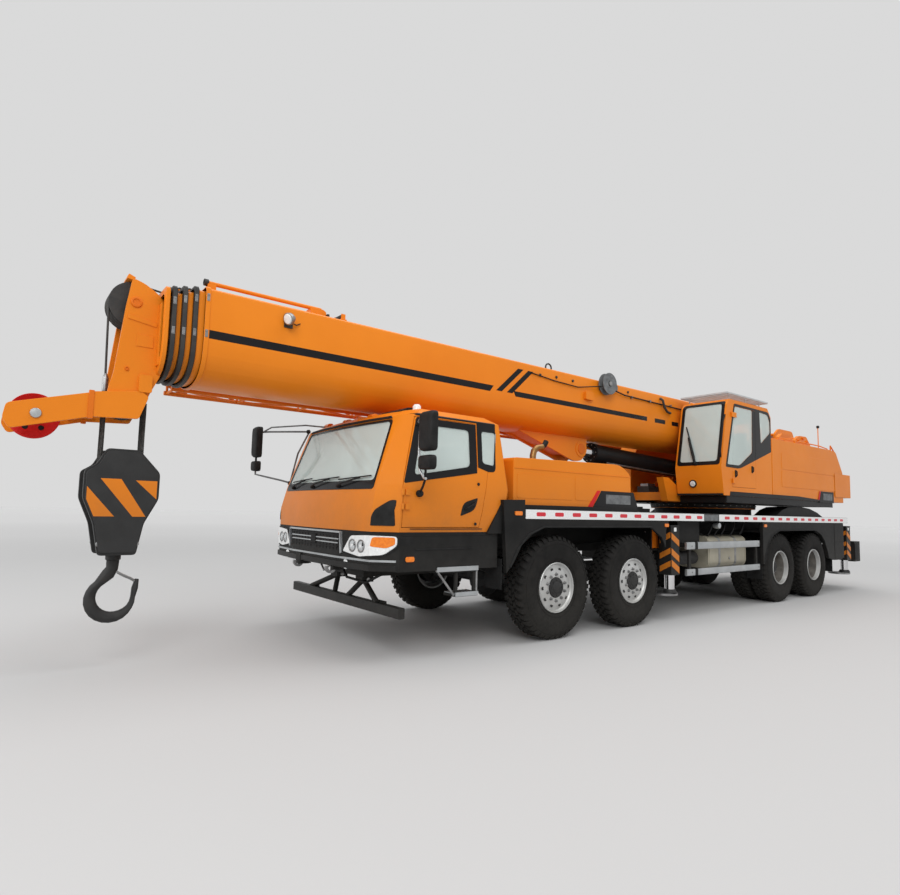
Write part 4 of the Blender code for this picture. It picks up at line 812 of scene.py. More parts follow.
for hand, out in HANDS:
    lamp = rounded([(out * 0.67, 1.030), (out * 0.80, 1.190), (out * 1.08, 1.205), (out * 1.300, 1.200),
                    (out * 1.300, 1.110), (out * 1.215, 1.020), (out * 0.95, 0.992)], 0.03)
    fascia_patch("headlight_" + hand, "silver_rail", lamp, WHITE, 0.012, 0.020, bevel=0.003)
    rim = rounded([(out * 0.645, 1.020), (out * 0.790, 1.208), (out * 1.08, 1.222), (out * 1.312, 1.214),
                   (out * 1.312, 1.100), (out * 1.220, 1.004), (out * 0.95, 0.976)], 0.03)
    fascia_patch("headlight_rim_" + hand, "trim", rim, SEAL, 0.006, 0.014, holes=(lamp,))
    blink = rounded([(out * 1.145, 1.190), (out * 1.292, 1.190), (out * 1.292, 1.120), (out * 1.235, 1.085),
                     (out * 1.130, 1.100)], 0.02)
    fascia_patch("indicator_" + hand, "red_nylon", blink, AMBER, 0.017, 0.010, bevel=0.002)
    kit = Kit("headlight_bowls_" + hand)
    for y in (0.84, 0.985):
        spot = (fascia_x(y) + 0.011, out * y, 1.095)
        aim = (1, out * 0.105, 0)
        kit.turned([(0.050, 0.0), (0.062, 0.0), (0.064, 0.006), (0.058, 0.010), (0.050, 0.006)], spot, aim,
                   STEEL, 40)
        kit.turned([(0, -0.004), (0.049, -0.004), (0.049, 0.003), (0.030, 0.008), (0, 0.010)], spot, aim,
                   MIRROR, 40)
        kit.turned([(0, 0.008), (0.016, 0.008), (0.014, 0.013), (0, 0.014)], spot, aim, WHITE, 20)
    kit.make("carrier", sharp=30)
    kit = Kit("side_lower_" + hand)
    side = out * 1.31
    kit.prism_y(rounded_box((2.09, 1.99), (0.955, 1.005), 0.02), outward(side, out, 0.014), AMBER)
    kit.box((1.24, 1.98), outward(side, out, 0.007), (1.065, 1.082), SEAL)
    kit.box((0.98, 2.12), outward(side, out, 0.006), (1.205, 1.215), SEAL)
    kit.make("carrier", bevel=0.003)
    kit = Kit("steps_" + hand)
    inner = out * 1.13
    outer = out * 1.312
    tread, lip = sorted((inner, outer)), sorted((outer, out * 1.322))
    grip = sorted((inner + out * 0.01, outer - out * 0.01))
    kit.box((1.17, 1.71), tread, (0.872, 0.884), ALLOY)
    kit.box((1.17, 1.71), lip, (0.842, 0.890), ALLOY)
    kit.box((1.17, 1.47), tread, (0.611, 0.622), ALLOY)
    kit.box((1.17, 1.47), lip, (0.584, 0.628), ALLOY)
    for k in range(12):
        kit.box((1.19 + k * 0.043, 1.205 + k * 0.043), grip, (0.884, 0.889), STEEL)
        if k < 6:
            kit.box((1.19 + k * 0.045, 1.205 + k * 0.045), grip, (0.622, 0.627), STEEL)
    kit.path([(1.71, out * 1.30, 0.865), (1.60, out * 1.30, 0.74), (1.48, out * 1.30, 0.60)], 0.013, STEEL)
    kit.path([(1.18, out * 1.30, 0.865), (1.18, out * 1.30, 0.60)], 0.013, STEEL)
    kit.make("carrier", bevel=0.002, segments=1)

kit = Kit("grille")
for za, zb, w, mat, lift in ((1.205, 1.226, 0.63, ALLOY, 0.016), (1.176, 1.192, 0.60, SEAL, 0.012),
                             (1.136, 1.150, 0.585, ALLOY, 0.010), (1.096, 1.110, 0.57, ALLOY, 0.010),
                             (1.056, 1.070, 0.56, SEAL, 0.010)):
    kit.prism_y([(2.405, za), (2.43 + lift, za + 0.002), (2.43 + lift - 0.004, zb), (2.405, zb)], (-w, w),
                mat)
for out in (1, -1):
    upper = ((2.42, 0.63, 1.226), (2.452, 0.63, 1.226), (2.452, 0.626, 1.205), (2.42, 0.63, 1.205))
    lower = ((2.41, 0.655, 1.01), (2.440, 0.655, 1.01), (2.440, 0.630, 1.00), (2.41, 0.630, 1.00))
    kit.loft([[(x, out * y, z) for x, y, z in ring] for ring in (upper, lower)], ALLOY)
    for k in range(7):
        y = out * (0.07 + k * 0.078)
        kit.box((2.415, 2.434), outward(y, out, 0.008), (1.03, 1.20), SEAL)
kit.box((2.41, 2.442), (-0.06, 0.06), (1.075, 1.175), SEAL)
kit.make("carrier", bevel=0.002, segments=1)
for name, slot, y, z, mat, out, thick, bevel in (
    ("bumper_trim", "silver_rail", 1.29, (0.952, 0.972), ALLOY, 0.010, 0.014, 0.0),
    ("bumper_lip", "trim", 1.30, (0.865, 0.925), BLACK, 0.016, 0.020, 0.004),
):
    strip = [(-y, z[0]), (-y, z[1]), (y, z[1]), (y, z[0])]
    fascia_patch(name, slot, strip, mat, out, thick, bevel=bevel)
kit = Kit("tow_hooks")
for y in (-0.36, 0.45):
    kit.prism_y(arc((2.445, 0.845), 0.060, -200, 20, 12) + arc((2.445, 0.845), 0.030, 20, -200, 12),
                about(y, 0.018), STEEL)
    kit.box((2.30, 2.43), about(y, 0.03), (0.82, 0.90), CHASSIS)
for y in (-0.75, 0.70):
    kit.turned([(0, 0.0), (0.052, 0.0), (0.056, 0.020), (0.048, 0.030), (0, 0.034)], (2.385, y, 0.905),
               (1, 0, 0), WHITE, 32)
kit.path([(2.10, 0.9, 0.80), (2.16, 0.7, 0.70), (2.17, 0.3, 0.72), (2.12, 0.1, 0.80)], 0.014, SEAL)
kit.path([(2.05, -0.6, 0.80), (2.15, -0.3, 0.74), (2.20, 0.0, 0.84)], 0.012, STEEL)
kit.make("carrier", bevel=0.003)

# ---------------------------------------------------------------- boom
BOOM_HALF_W = 0.46
BOOM_Z = (2.60, 3.49)
BOOM_WALL = 0.018
BOOM_FRONTS = (3.83, 3.93, 4.02, 4.105, 4.16)
BOOM_REARS = (-6.72, -6.40, -6.34, -6.28, -6.22)
BOOM_BODIES = ("boom_base", "boom_section_2", "boom_section_3", "boom_section_4", "boom_section_5")
COLLAR = surface("collar_dark", (0.020, 0.020, 0.020), (0.045, 0.042, 0.038), 0.55, 0.2, scale=9.0, bump=0.08)


def boom_outline(half_w, low, high):
    """Flat top and sides with a rounded underside."""
    height = high - low
    half = [(half_w, low + 0.36 * height), (half_w * 0.93, low + 0.20 * height),
            (half_w * 0.72, low + 0.075 * height), (half_w * 0.38, low + 0.012 * height)]
    points = [(half_w, high)] + half + [(0.0, low)] + [(-y, z) for y, z in reversed(half)] + [(-half_w, high)]
    return rounded(points, [0.05] + [0.10] * 9 + [0.05], 3)


for number, body in enumerate(BOOM_BODIES):
    trim_by = number * (BOOM_WALL + 0.010)
    rise = number * (BOOM_WALL + 0.0003)
    half_w, low, high = BOOM_HALF_W - trim_by, BOOM_Z[0] + rise, BOOM_Z[1] - trim_by
    x = (BOOM_REARS[number], BOOM_FRONTS[number])
    outer = boom_outline(half_w, low, high)
    inner = boom_outline(half_w - BOOM_WALL, low + BOOM_WALL, high - BOOM_WALL)
    kit = Kit("boom_tube_%d" % (number + 1))
    kit.loft([[(x[0], y, z) for y, z in outer], [(x[1], y, z) for y, z in outer],
              [(x[1], y, z) for y, z in inner], [(x[0], y, z) for y, z in inner]], ORANGE, True, loop=True)
    grow = 0.010 + 0.012 * number
    wide = boom_outline(half_w + grow, low - grow, high + grow)
    mid = boom_outline(half_w + grow * 0.5, low - grow * 0.5, high + grow * 0.5)
    mat = ORANGE if number in (0, 4) else COLLAR
    kit.loft([[(x[1] - 0.046, y, z) for y, z in mid], [(x[1] - 0.038, y, z) for y, z in wide],
              [(x[1] - 0.004, y, z) for y, z in wide], [(x[1] + 0.0, y, z) for y, z in mid],
              [(x[1] + 0.0, y, z) for y, z in inner], [(x[1] - 0.046, y, z) for y, z in inner]], mat, True,
             loop=True)
    if number < 4:
        for out in (1, -1):
            for z in (low + 0.50 * (high - low), high - 0.10):
                y = out * (half_w + grow)
                kit.box((x[1] - 0.034, x[1] - 0.008), outward(y, out, 0.004), about(z, 0.035), STEEL)
                for dz in (-0.022, 0.022):
                    kit.boss(0.008, 0.007, 0.006, 0.007, (x[1] - 0.021, y + out * 0.003, z + dz),
                             (0, out, 0), STEEL, 8)
        if number:
            for y in (-0.14, 0.14):
                kit.box((x[1] - 0.045, x[1] - 0.004), about(y, 0.03),
                        (high + grow - 0.01, high + grow + 0.035), ORANGE)
                kit.turned([(0.012, -0.03), (0.024, -0.03), (0.024, 0.03), (0.012, 0.03)],
                           (x[1] - 0.025, y, high + grow + 0.030), ACROSS, COLLAR, 16)
    nodes = (body,)
    if number == 4:
        # head plates, sheaves and their pins
        plate = rounded([(4.12, 3.34), (4.20, 3.41), (4.30, 3.47), (4.40, 3.50), (4.44, 3.22), (4.50, 2.62),
                         (4.54, 2.44), (4.46, 2.24), (4.28, 2.22), (4.20, 2.46), (4.12, 2.64)], 0.03, 3)
        for out in (1, -1):
            kit.prism_y(plate, beside(out, 0.17, 0.205), ORANGE)
            for px, pz, r in ((4.36, 3.28, 0.050), (4.40, 2.66, 0.020)):
                kit.turned([(0, 0.0), (r, 0.0), (r - 0.004, 0.016), (r * 0.6, 0.018), (r * 0.55, 0.010),
                            (0, 0.010)], (px, out * 0.204, pz), (0, out, 0), ORANGE_DEEP, 28)
            kit.box((4.20, 4.34), beside(out, 0.205, 0.212), (2.88, 2.99), ORANGE)
            kit.prism_y(rounded([(4.18, 3.08), (4.42, 3.12), (4.42, 3.16), (4.18, 3.12)], 0.01),
                        beside(out, 0.204, 0.214), ORANGE)
        kit.box((4.13, 4.17), (-0.30, 0.30), (2.72, 3.30), ORANGE)
        kit.box((4.15, 4.30), (-0.18, 0.18), (2.75, 3.00), ORANGE)
        for sx, sz, r in ((4.36, 3.28, 0.21), (4.37, 2.38, 0.15)):
            for y in ROPE_FALLS:
                kit.turned([(0.03, -0.027), (r, -0.027), (r + 0.001, -0.020), (r - 0.026, -0.006),
                            (r - 0.026, 0.006), (r + 0.001, 0.020), (r, 0.027), (0.03, 0.027)], (sx, y, sz),
                           ACROSS, COLLAR, 40)
            kit.pin((sx, 0, sz), 0.045, 0.19, STEEL, 20)
        kit.box((4.10, 4.16), (-0.16, 0.16), (3.32, 3.40), ORANGE)
        kit.path([(4.10, 0.03, 3.475), (4.36, 0.03, 3.505)], 0.010, COLLAR, 8)
        kit.rod((4.562, 0.09, 3.24), (4.545, 0.09, 2.50), 0.010, COLLAR, 8)
        kit.turned([(0, -0.09), (0.022, -0.07), (0.026, 0.05), (0.012, 0.09), (0, 0.10)],
                   (4.545, 0.09, 2.52), UP, STEEL, 16)
        kit.prism_y(rounded([(4.385, 3.49), (4.37, 3.52), (4.43, 3.545), (4.445, 3.50)], 0.01),
                    (-0.02, 0.17), ORANGE)
        # cable reel box on the head
        kit.prism_y(rounded_box((4.19, 4.30), (2.46, 2.62), 0.02), (0.205, 0.245), ORANGE)
    if number == 0:
        foot = rounded(arc((-7.0, 2.95), 0.22, 100, 260, 8) + [(-6.30, 2.74), (-6.30, 3.30)], 0.01, 1)
        bracket = rounded([(-0.36, 2.66), (-1.62, 2.27), (-1.72, 2.25), (-1.86, 2.27), (-1.98, 2.40),
                           (-1.98, 2.66)], [0.01, 0.1, 0.05, 0.05, 0.05, 0.01], 4)
        web = [(-0.45, 2.64), (-1.45, 2.345), (-1.55, 2.345), (-1.55, 2.66)]
        for out in (1, -1):
            kit.prism_y(foot, beside(out, 0.38, 0.4997), ORANGE)
            kit.prism_y(bracket, beside(out, 0.12, 0.16), ORANGE)
            kit.turned([(0, 0.0), (0.085, 0.0), (0.080, 0.022), (0.05, 0.026), (0, 0.018)],
                       (CYLINDER_EYE[0], out * 0.158, CYLINDER_EYE[1]), (0, out, 0), ORANGE_DEEP, 28)
            kit.prism_y(arc(CYLINDER_EYE, 0.125, 0, 345, 23), beside(out, 0.158, 0.170), ORANGE)
        kit.prism_y(web, (-0.13, 0.13), ORANGE)
        kit.box((-6.72, -6.66), (-0.42, 0.42), (2.80, 3.40), ORANGE)
        # top tube, its posts and the roller block
        kit.prism_y(rounded([(2.52, 3.47), (2.52, 3.59), (2.56, 3.61), (2.70, 3.61), (2.70, 3.47)], 0.02),
                    (0.14, 0.26), ORANGE)
        kit.box((2.50, 2.525), (0.10, 0.30), (3.485, 3.56), COLLAR)
        kit.box((3.68, 3.76), (0.17, 0.23), (3.47, 3.61), ORANGE)
        kit.rod((3.79, 0.20, 3.62), (2.56, 0.20, 3.62), 0.021, ORANGE, 16)
        kit.rod((3.79, 0.20, 3.62), (3.75, 0.20, 3.62), 0.034, COLLAR, 16)
        kit.box((2.30, 2.37), (-0.32, 0.32), (3.485, 3.54), ORANGE)
        for y in (-0.22, 0.0, 0.22):
            kit.rod((2.335, y - 0.07, 3.575), (2.335, y + 0.07, 3.575), 0.028, COLLAR, 16)
            kit.box((2.31, 2.36), (y - 0.085, y - 0.075), (3.53, 3.60), ORANGE)
            kit.box((2.31, 2.36), (y + 0.075, y + 0.085), (3.53, 3.60), ORANGE)
        for k in range(5):
            x0 = 1.2 - k * 1.75
            kit.box(about(x0, 0.02), (-0.16, 0.16), (3.488, 3.53), ORANGE)
            kit.rod((x0, -0.13, 3.555), (x0, 0.13, 3.555), 0.024, COLLAR, 16)
        kit.path([(x, 0.30, z) for x, z in arc((-0.96, 3.545), 0.06, 270, 630, 12)], 0.012, COLLAR, 8)
        kit.box((-1.0, -0.92), (0.27, 0.33), (3.485, 3.497), COLLAR)
    kit.make(body, nodes, bevel=0.004, segments=2, sharp=32)

# painted bands and loose fittings on the base section
kit = Kit("boom_bands")
for out in (1, -1):
    y = beside(out, 0.4585, 0.4612)
    kit.prism_y([(3.785, 3.005), (3.785, 3.085), (0.235, 3.085), (0.295, 3.005)], y, BAND)
    for x in (0.19, 0.00):
        kit.prism_y([(x, 3.03), (x - 0.39, 3.38), (x - 0.49, 3.38), (x - 0.10, 3.03)], y, BAND)
    kit.prism_y([(-0.16, 2.995), (-0.12, 3.065), (-3.14, 3.065), (-3.14, 2.995)], y, BAND)
    for x0, x1 in ((-3.36, -3.66), (-3.86, -4.06), (-4.26, -4.40)):
        kit.prism_y([(x0, 2.995), (x0, 3.065), (x1, 3.065), (x1, 2.995)], y, BAND)
kit.make("boom_base")

kit = Kit("boom_fittings")
side = 0.46
# work lamp on its bracket
kit.box((2.98, 3.07), (side, side + 0.012), (3.26, 3.40), COLLAR)
kit.box((3.00, 3.04), (side, side + 0.07), (3.30, 3.33), COLLAR)
kit.turned([(0, -0.055), (0.030, -0.05), (0.058, -0.01), (0.062, 0.03), (0.056, 0.032), (0, 0.026)],
           (3.04, side + 0.075, 3.335), (0.9, 0.35, -0.35), STEEL, 32)
kit.boss(0.053, 0.045, 0.008, 0.012, (3.067, side + 0.0855, 3.3245), (0.9, 0.35, -0.35), WHITE, 32)
kit.path([(3.01, side + 0.05, 3.31), (2.95, side + 0.02, 3.30), (2.90, side + 0.008, 3.33)], 0.006, SEAL, 8)
# hose drum with its guard near the rear
kit.turned([(0.04, -0.045), (0.165, -0.045), (0.165, -0.035), (0.075, -0.030), (0.075, 0.030), (0.165, 0.035),
            (0.165, 0.045), (0.04, 0.045)], (-2.02, side + 0.075, 3.43), ACROSS, GREY, 40)
for k in range(9):
    kit.turned([(0.076 + 0.009 * (k % 3), -0.006), (0.086 + 0.009 * (k % 3), 0.0),
                (0.076 + 0.009 * (k % 3), 0.006)], (-2.02, side + 0.050 + 0.006 * k, 3.43), ACROSS, SEAL, 32)
kit.box((-2.14, -1.90), (side, side + 0.02), (3.33, 3.46), COLLAR)
kit.rod((-2.02, side, 3.43), (-2.02, side + 0.135, 3.43), 0.035, STEEL, 20)
kit.prism_y(rounded([(-2.26, 3.36), (-2.26, 3.44), (-2.15, 3.47), (-2.15, 3.36)], 0.02), (side, side + 0.08),
            GREY)
kit.path([(-2.2, side + 0.04, 3.37), (-2.5, side + 0.03, 3.33), (-3.2, side + 0.02, 3.32),
          (-4.2, side + 0.02, 3.30)], 0.011, SEAL)
for x in (-2.7, -3.2, -3.8):
    kit.box(about(x, 0.015), (side, side + 0.034), (3.305, 3.345), STEEL)
kit.path([(-1.90, side + 0.05, 3.38), (-1.4, side + 0.02, 3.30), (-0.9, side + 0.014, 3.32),
          (-0.45, side + 0.014, 3.36)], 0.008, SEAL)
# bent handle on the rear of the side
kit.path([(-3.50, side + 0.01, 3.42), (-3.52, side + 0.05, 3.38), (-3.56, side + 0.055, 3.27),
          (-3.64, side + 0.055, 3.20), (-3.74, side + 0.05, 3.19), (-3.78, side + 0.01, 3.20)], 0.020, COLLAR)
for x, z in ((-0.62, 3.36), (-0.95, 3.38), (-1.30, 3.38), (-2.62, 3.40)):
    kit.boss(0.020, 0.018, 0.016, 0.018, (x, side, z), ACROSS, COLLAR, 16)
kit.prism_y(rounded_box((-1.55, -1.72), (3.14, 3.26), 0.02), (side, side + 0.05), ORANGE)
# hydraulic pipes along the underside and clips on the right
for dz in (0.0, 0.045):
    kit.path([(3.3, -side - 0.02, 3.20 + dz), (1.0, -side - 0.02, 3.20 + dz), (-5.8, -side - 0.02, 3.20 + dz),
              (-6.3, -side - 0.01, 3.12 + dz)], 0.014, STEEL, 8)
for k in range(9):
    kit.box((3.0 - k, 3.04 - k), (-side - 0.036, -side), (3.17, 3.28), COLLAR)
kit.make("boom_base", bevel=0.003, segments=1)

# ---------------------------------------------------------------- nose, sheave, rope, block and hook
kit = Kit("nose_arm")
root = rounded([(4.28, 2.215), (4.21, 2.42), (4.27, 2.47), (4.655, 2.415), (4.655, 2.195)], 0.02, 3)
arm = rounded([(4.665, 2.405), (5.24, 2.245), (5.26, 2.12), (5.21, 2.04), (4.665, 2.19)],
              [0.01, 0.03, 0.03, 0.03, 0.01], 4)
for out in (1, -1):
    kit.prism_y(root, beside(out, NOSE_INNER, 0.236), ORANGE)
    kit.prism_y(arm, beside(out, NOSE_INNER, 0.232), ORANGE)
    kit.box((4.636, 4.676), beside(out, 0.206, 0.246), (2.178, 2.425), ORANGE_DEEP)
    kit.turned([(0, 0.0), (0.042, 0.0), (0.040, 0.014), (0.02, 0.018), (0, 0.018)],
               (NOSE_PIN[0], out * 0.234, NOSE_PIN[1]), (0, out, 0), ALLOY, 28)
kit.box((4.64, 4.80), (-0.22, 0.22), (2.22, 2.36), ORANGE)
kit.pin((NOSE_PIN[0], 0, NOSE_PIN[1]), 0.0385, 0.25, ALLOY, 24)
kit.make("boom_section_5", ("nose",), bevel=0.004)

kit = Kit("nose_sheave_red")
kit.turned([(0.0405, -0.06), (0.0405, 0.06), (0.070, 0.060), (0.076, 0.030), (0.085, 0.020), (0.140, 0.018),
            (0.158, 0.030), (0.187, 0.043), (0.190, 0.038), (0.166, 0.012), (0.160, 0.0), (0.166, -0.012),
            (0.190, -0.038), (0.187, -0.043), (0.158, -0.030), (0.140, -0.018), (0.085, -0.020),
            (0.076, -0.030), (0.070, -0.060)], (NOSE_PIN[0], 0, NOSE_PIN[1]), ACROSS, RED, 64)
# black discs stand in for the sheave's holes: painted shade in the openings
for i in range(6):
    for out in (1, -1):
        a = math.pi * i / 3
        kit.turned([(0, -0.004), (0.020, -0.004), (0.022, 0.0), (0.020, 0.003), (0, 0.001)],
                   (NOSE_PIN[0] + 0.112 * math.cos(a), out * 0.0192, NOSE_PIN[1] + 0.112 * math.sin(a)),
                   (0, out, 0), SEAL, 16)
kit.make("nose_sheave", ("nose_sheave",), sharp=40)


def strand(kit, points, radius, mat, turns_per_m=9.0):
    """A laid rope: six strands twisted round a path."""
    spots = [Vector(p) for p in points]
    dense = []
    for a, b in zip(spots, spots[1:]):
        count = max(1, int((b - a).length / 0.012))
        dense += [a.lerp(b, k / count) for k in range(count)]
    dense.append(spots[-1])
    run = 0.0
    lines = [[] for _ in range(6)]
    side = None
    for i, p in enumerate(dense):
        ahead = (dense[min(i + 1, len(dense) - 1)] - dense[max(i - 1, 0)]).normalized()
        if side is None:
            side = ahead.orthogonal().normalized()
        side = (side - ahead * side.dot(ahead)).normalized()
        other = ahead.cross(side)
        if i:
            run += (p - dense[i - 1]).length
        for s in range(6):
            a = math.tau * (run * turns_per_m + s / 6)
            lines[s].append(tuple(p + (side * math.cos(a) + other * math.sin(a)) * radius * 0.60))
    for line in lines:
        kit.path(line, radius * 0.42, mat, 5)


kit = Kit("hoist_falls")
inner = 0.1503 + 0.012
for y in ROPE_FALLS:
    turn = [(x, y, z) for x, z in arc(BLOCK_PIN, inner, 0, -180, 12)]
    way = [(HEAD_PIN[0] + inner, y, HEAD_PIN[1])] + turn + [(HEAD_PIN[0] - inner, y, HEAD_PIN[1])]
    strand(kit, way, 0.0115, ROPE)
kit.make("hook_block", ("hoist_rope",), sharp=60)

kit = Kit("block_cheeks")
cheek = rounded([(4.24, 1.94), (4.50, 1.94), (4.57, 1.80), (4.66, 1.74), (4.66, 1.50), (4.57, 1.28),
                 (4.52, 1.00), (4.22, 1.00), (4.17, 1.28), (4.06, 1.50), (4.06, 1.74), (4.15, 1.84)], 0.03, 3)
BLOCK = surface("block_black", (0.010, 0.010, 0.010), (0.020, 0.020, 0.020), 0.5, 0.1, scale=6.0, bump=0.06)
BLOCK_BANDS = (
    [(4.635, 1.60), (4.415, 1.341), (4.572, 1.341), (4.635, 1.49)],
    [(4.538, 1.672), (4.377, 1.672), (4.165, 1.341), (4.272, 1.341)],
    [(4.263, 1.665), (4.085, 1.665), (4.085, 1.500)],
)
for out in (1, -1):
    kit.prism_y(cheek, beside(out, 0.130, 0.168), BLOCK)
    inner_cheek = [(4.37 + (x - 4.37) * 0.95, 1.50 + (z - 1.50) * 0.95) for x, z in cheek]
    kit.prism_y(inner_cheek, beside(out, 0.166, 0.192), BLOCK)
    for x, z in ((4.24, 1.86), (4.50, 1.86), (4.22, 1.10), (4.52, 1.10), (4.13, 1.62), (4.60, 1.62)):
        kit.boss(0.022, 0.020, 0.010, 0.012, (x, out * 0.167, z), (0, out, 0), STEEL, 12)
for y in ROPE_FALLS:
    kit.turned([(0.03, -0.027), (0.150, -0.027), (0.151, -0.020), (0.126, -0.006), (0.126, 0.006),
                (0.151, 0.020), (0.150, 0.027), (0.03, 0.027)], (BLOCK_PIN[0], y, BLOCK_PIN[1]), ACROSS,
               COLLAR, 40)
kit.pin((BLOCK_PIN[0], 0, BLOCK_PIN[1]), 0.05, 0.15, STEEL, 24)
square = ((1, 1), (-1, 1), (-1, -1), (1, -1))
levels = ((0.11, 0.11, 1.0), (0.13, 0.145, 1.05), (0.13, 0.145, 1.20), (0.10, 0.10, 1.26))
kit.loft([[(BLOCK_PIN[0] + sx * w, sy * d, z) for sx, sy in square] for w, d, z in levels], BLOCK)
for x in (4.225, 4.515):
    kit.rod((x, -0.13, 1.80), (x, 0.13, 1.80), 0.018, STEEL, 12)
kit.make("hook_block", ("hook_block",), bevel=0.004)

kit = Kit("block_stripes")
for out in (1, -1):
    y = beside(out, 0.190, 0.1945)
    for band in BLOCK_BANDS:
        kit.prism_y(band, y, ORANGE)
kit.make("hook_block", bevel=0.001, segments=1)

kit = Kit("hook_forged")
centre = Vector((4.36, 0.615))
line = [((4.37, 0.9997), 0.050, 0.050), ((4.370, 0.93), 0.052, 0.050), ((4.372, 0.875), 0.050, 0.048),
        ((4.400, 0.825), 0.056, 0.047)]
for k in range(16):
    t = k / 15
    angle = math.radians(48 - 226 * t)
    thick = 0.056 + 0.030 * math.sin(math.pi * min(1.0, t * 1.15)) - 0.024 * max(0.0, t - 0.7) / 0.3
    radius = 0.170 + 0.004 * math.sin(math.pi * t)
    line.append(((centre.x + radius * math.cos(angle), centre.y + radius * math.sin(angle)), thick * 0.62,
                 0.048 - 0.008 * t))
line.append(((4.178, 0.690), 0.028, 0.032))
line.append(((4.165, 0.770), 0.017, 0.020))
rings = []
for i, ((x, z), w, d) in enumerate(line):
    before = Vector(line[max(i - 1, 0)][0])
    after = Vector(line[min(i + 1, len(line) - 1)][0])
    run = (after - before).normalized()
    normal = Vector((run.y, -run.x))
    rings.append([(x + normal.x * w * math.cos(a), d * math.sin(a) * (1.0 if math.cos(a) < 0 else 0.88),
                   z + normal.y * w * math.cos(a)) for a in [math.tau * q / 20 for q in range(20)]])
kit.loft(rings, IRON, True)
kit.turned([(0, 0.0), (0.060, 0.0), (0.062, -0.010), (0.062, -0.045), (0.050, -0.055), (0, -0.055)],
           (4.37, 0, 0.9995), UP, IRON, 32)
kit.path([(4.325, 0.0, 0.835), (4.275, 0.0, 0.805), (4.215, 0.0, 0.775), (4.172, 0.0, 0.745)], 0.012, STEEL)
for y in (0.018, -0.018):
    kit.path([(4.330, y, 0.84), (4.22, y, 0.782), (4.175, 0.0, 0.752)], 0.007, STEEL)
kit.rod((4.333, -0.035, 0.843), (4.333, 0.035, 0.843), 0.010, STEEL)
kit.make("hook", ("hook",), sharp=50)

# ---------------------------------------------------------------- stowed lattice jib
kit = Kit("jib_lattice")
x0, x1, y0, y1, z0, z1 = -3.95, 3.86, -1.00, -0.62, 2.66, 3.06
corners = [(y, z) for y in (y0 + 0.025, y1 - 0.025) for z in (z0 + 0.025, z1 - 0.025)]
for y, z in corners:
    kit.rod((x0 + 0.02, y, z), (x1 - 0.02, y, z), 0.025, ORANGE_DEEP, 12)
bays = 10
step = (x1 - x0 - 0.10) / bays
for k in range(bays + 1):
    x = x0 + 0.05 + k * step
    for z in (z0 + 0.025, z1 - 0.025):
        kit.rod((x, y0 + 0.025, z), (x, y1 - 0.025, z), 0.014, ORANGE_DEEP, 8)
    for y in (y0 + 0.025, y1 - 0.025):
        kit.rod((x, y, z0 + 0.025), (x, y, z1 - 0.025), 0.014, ORANGE_DEEP, 8)
        if k < bays:
            za, zb = (z0 + 0.025, z1 - 0.025) if k % 2 else (z1 - 0.025, z0 + 0.025)
            kit.rod((x, y, za), (x + step, y, zb), 0.013, ORANGE_DEEP, 8)
    if k < bays:
        ya, yb = (y0 + 0.025, y1 - 0.025) if k % 2 else (y1 - 0.025, y0 + 0.025)
        for z in (z0 + 0.025, z1 - 0.025):
            kit.rod((x, ya, z), (x + step, yb, z), 0.012, ORANGE_DEEP, 8)
for x in (x0 + 0.025 + 1.1086, x0 + 0.025 + 6 * 1.1086):
    kit.box(about(x, 0.03), (-0.64, -0.461), (3.014, 3.055), ORANGE_DEEP)
    kit.prism_x([(-0.62, 2.70), (-0.462, 3.00), (-0.462, 3.04), (-0.62, 2.80)], about(x, 0.02),
                ORANGE_DEEP)
for y in (-0.975, -0.645):
    kit.prism_y(rounded([(3.60, 2.665), (3.60, 3.055), (3.845, 2.94), (3.858, 2.78)], 0.03),
                about(y, 0.014), ORANGE_DEEP)
kit.turned([(0.02, -0.15), (0.085, -0.15), (0.088, -0.02), (0.070, 0.0), (0.088, 0.02), (0.085, 0.15),
            (0.02, 0.15)], (3.76, -0.81, 2.86), ACROSS, COLLAR, 32)
kit.rod((3.76, -0.99, 2.86), (3.76, -0.63, 2.86), 0.018, STEEL)
kit.make("boom_base", ("jib",), bevel=0.0, sharp=45)

# ---------------------------------------------------------------- superstructure
OP_SIDE = ((-3.86, 1.80), (-3.79, 2.25), (-4.00, 3.28), (-4.08, 3.37), (-5.40, 3.37), (-5.52, 3.22),
           (-5.52, 1.80))
OP_Y = (0.56, 1.36)


def inset_outline(points, inset):
    count = len(points)
    area = sum(points[i][0] * points[(i + 1) % count][1] - points[(i + 1) % count][0] * points[i][1]
               for i in range(count))
    turn = 1.0 if area > 0 else -1.0
    moved = []
    for i in range(count):
        before, here, after = Vector(points[i - 1]), Vector(points[i]), Vector(points[(i + 1) % count])
        first, second = (here - before).normalized(), (after - here).normalized()
        n1, n2 = Vector((-first.y, first.x)) * turn, Vector((-second.y, second.x)) * turn
        moved.append(tuple(here + (n1 + n2) * (inset / (1.0 + n1.dot(n2)))))
    return moved


def op_solid(inset):
    return solid(inset_outline(OP_SIDE, inset), "y", (OP_Y[0] + inset, OP_Y[1] - inset))


def op_door(shrink):
    return [(-4.13 - shrink, 1.94 + shrink), (-4.22 - shrink, 3.27 - shrink), (-4.93 + shrink, 3.27 - shrink),
            (-4.93 + shrink, 1.94 + shrink)]


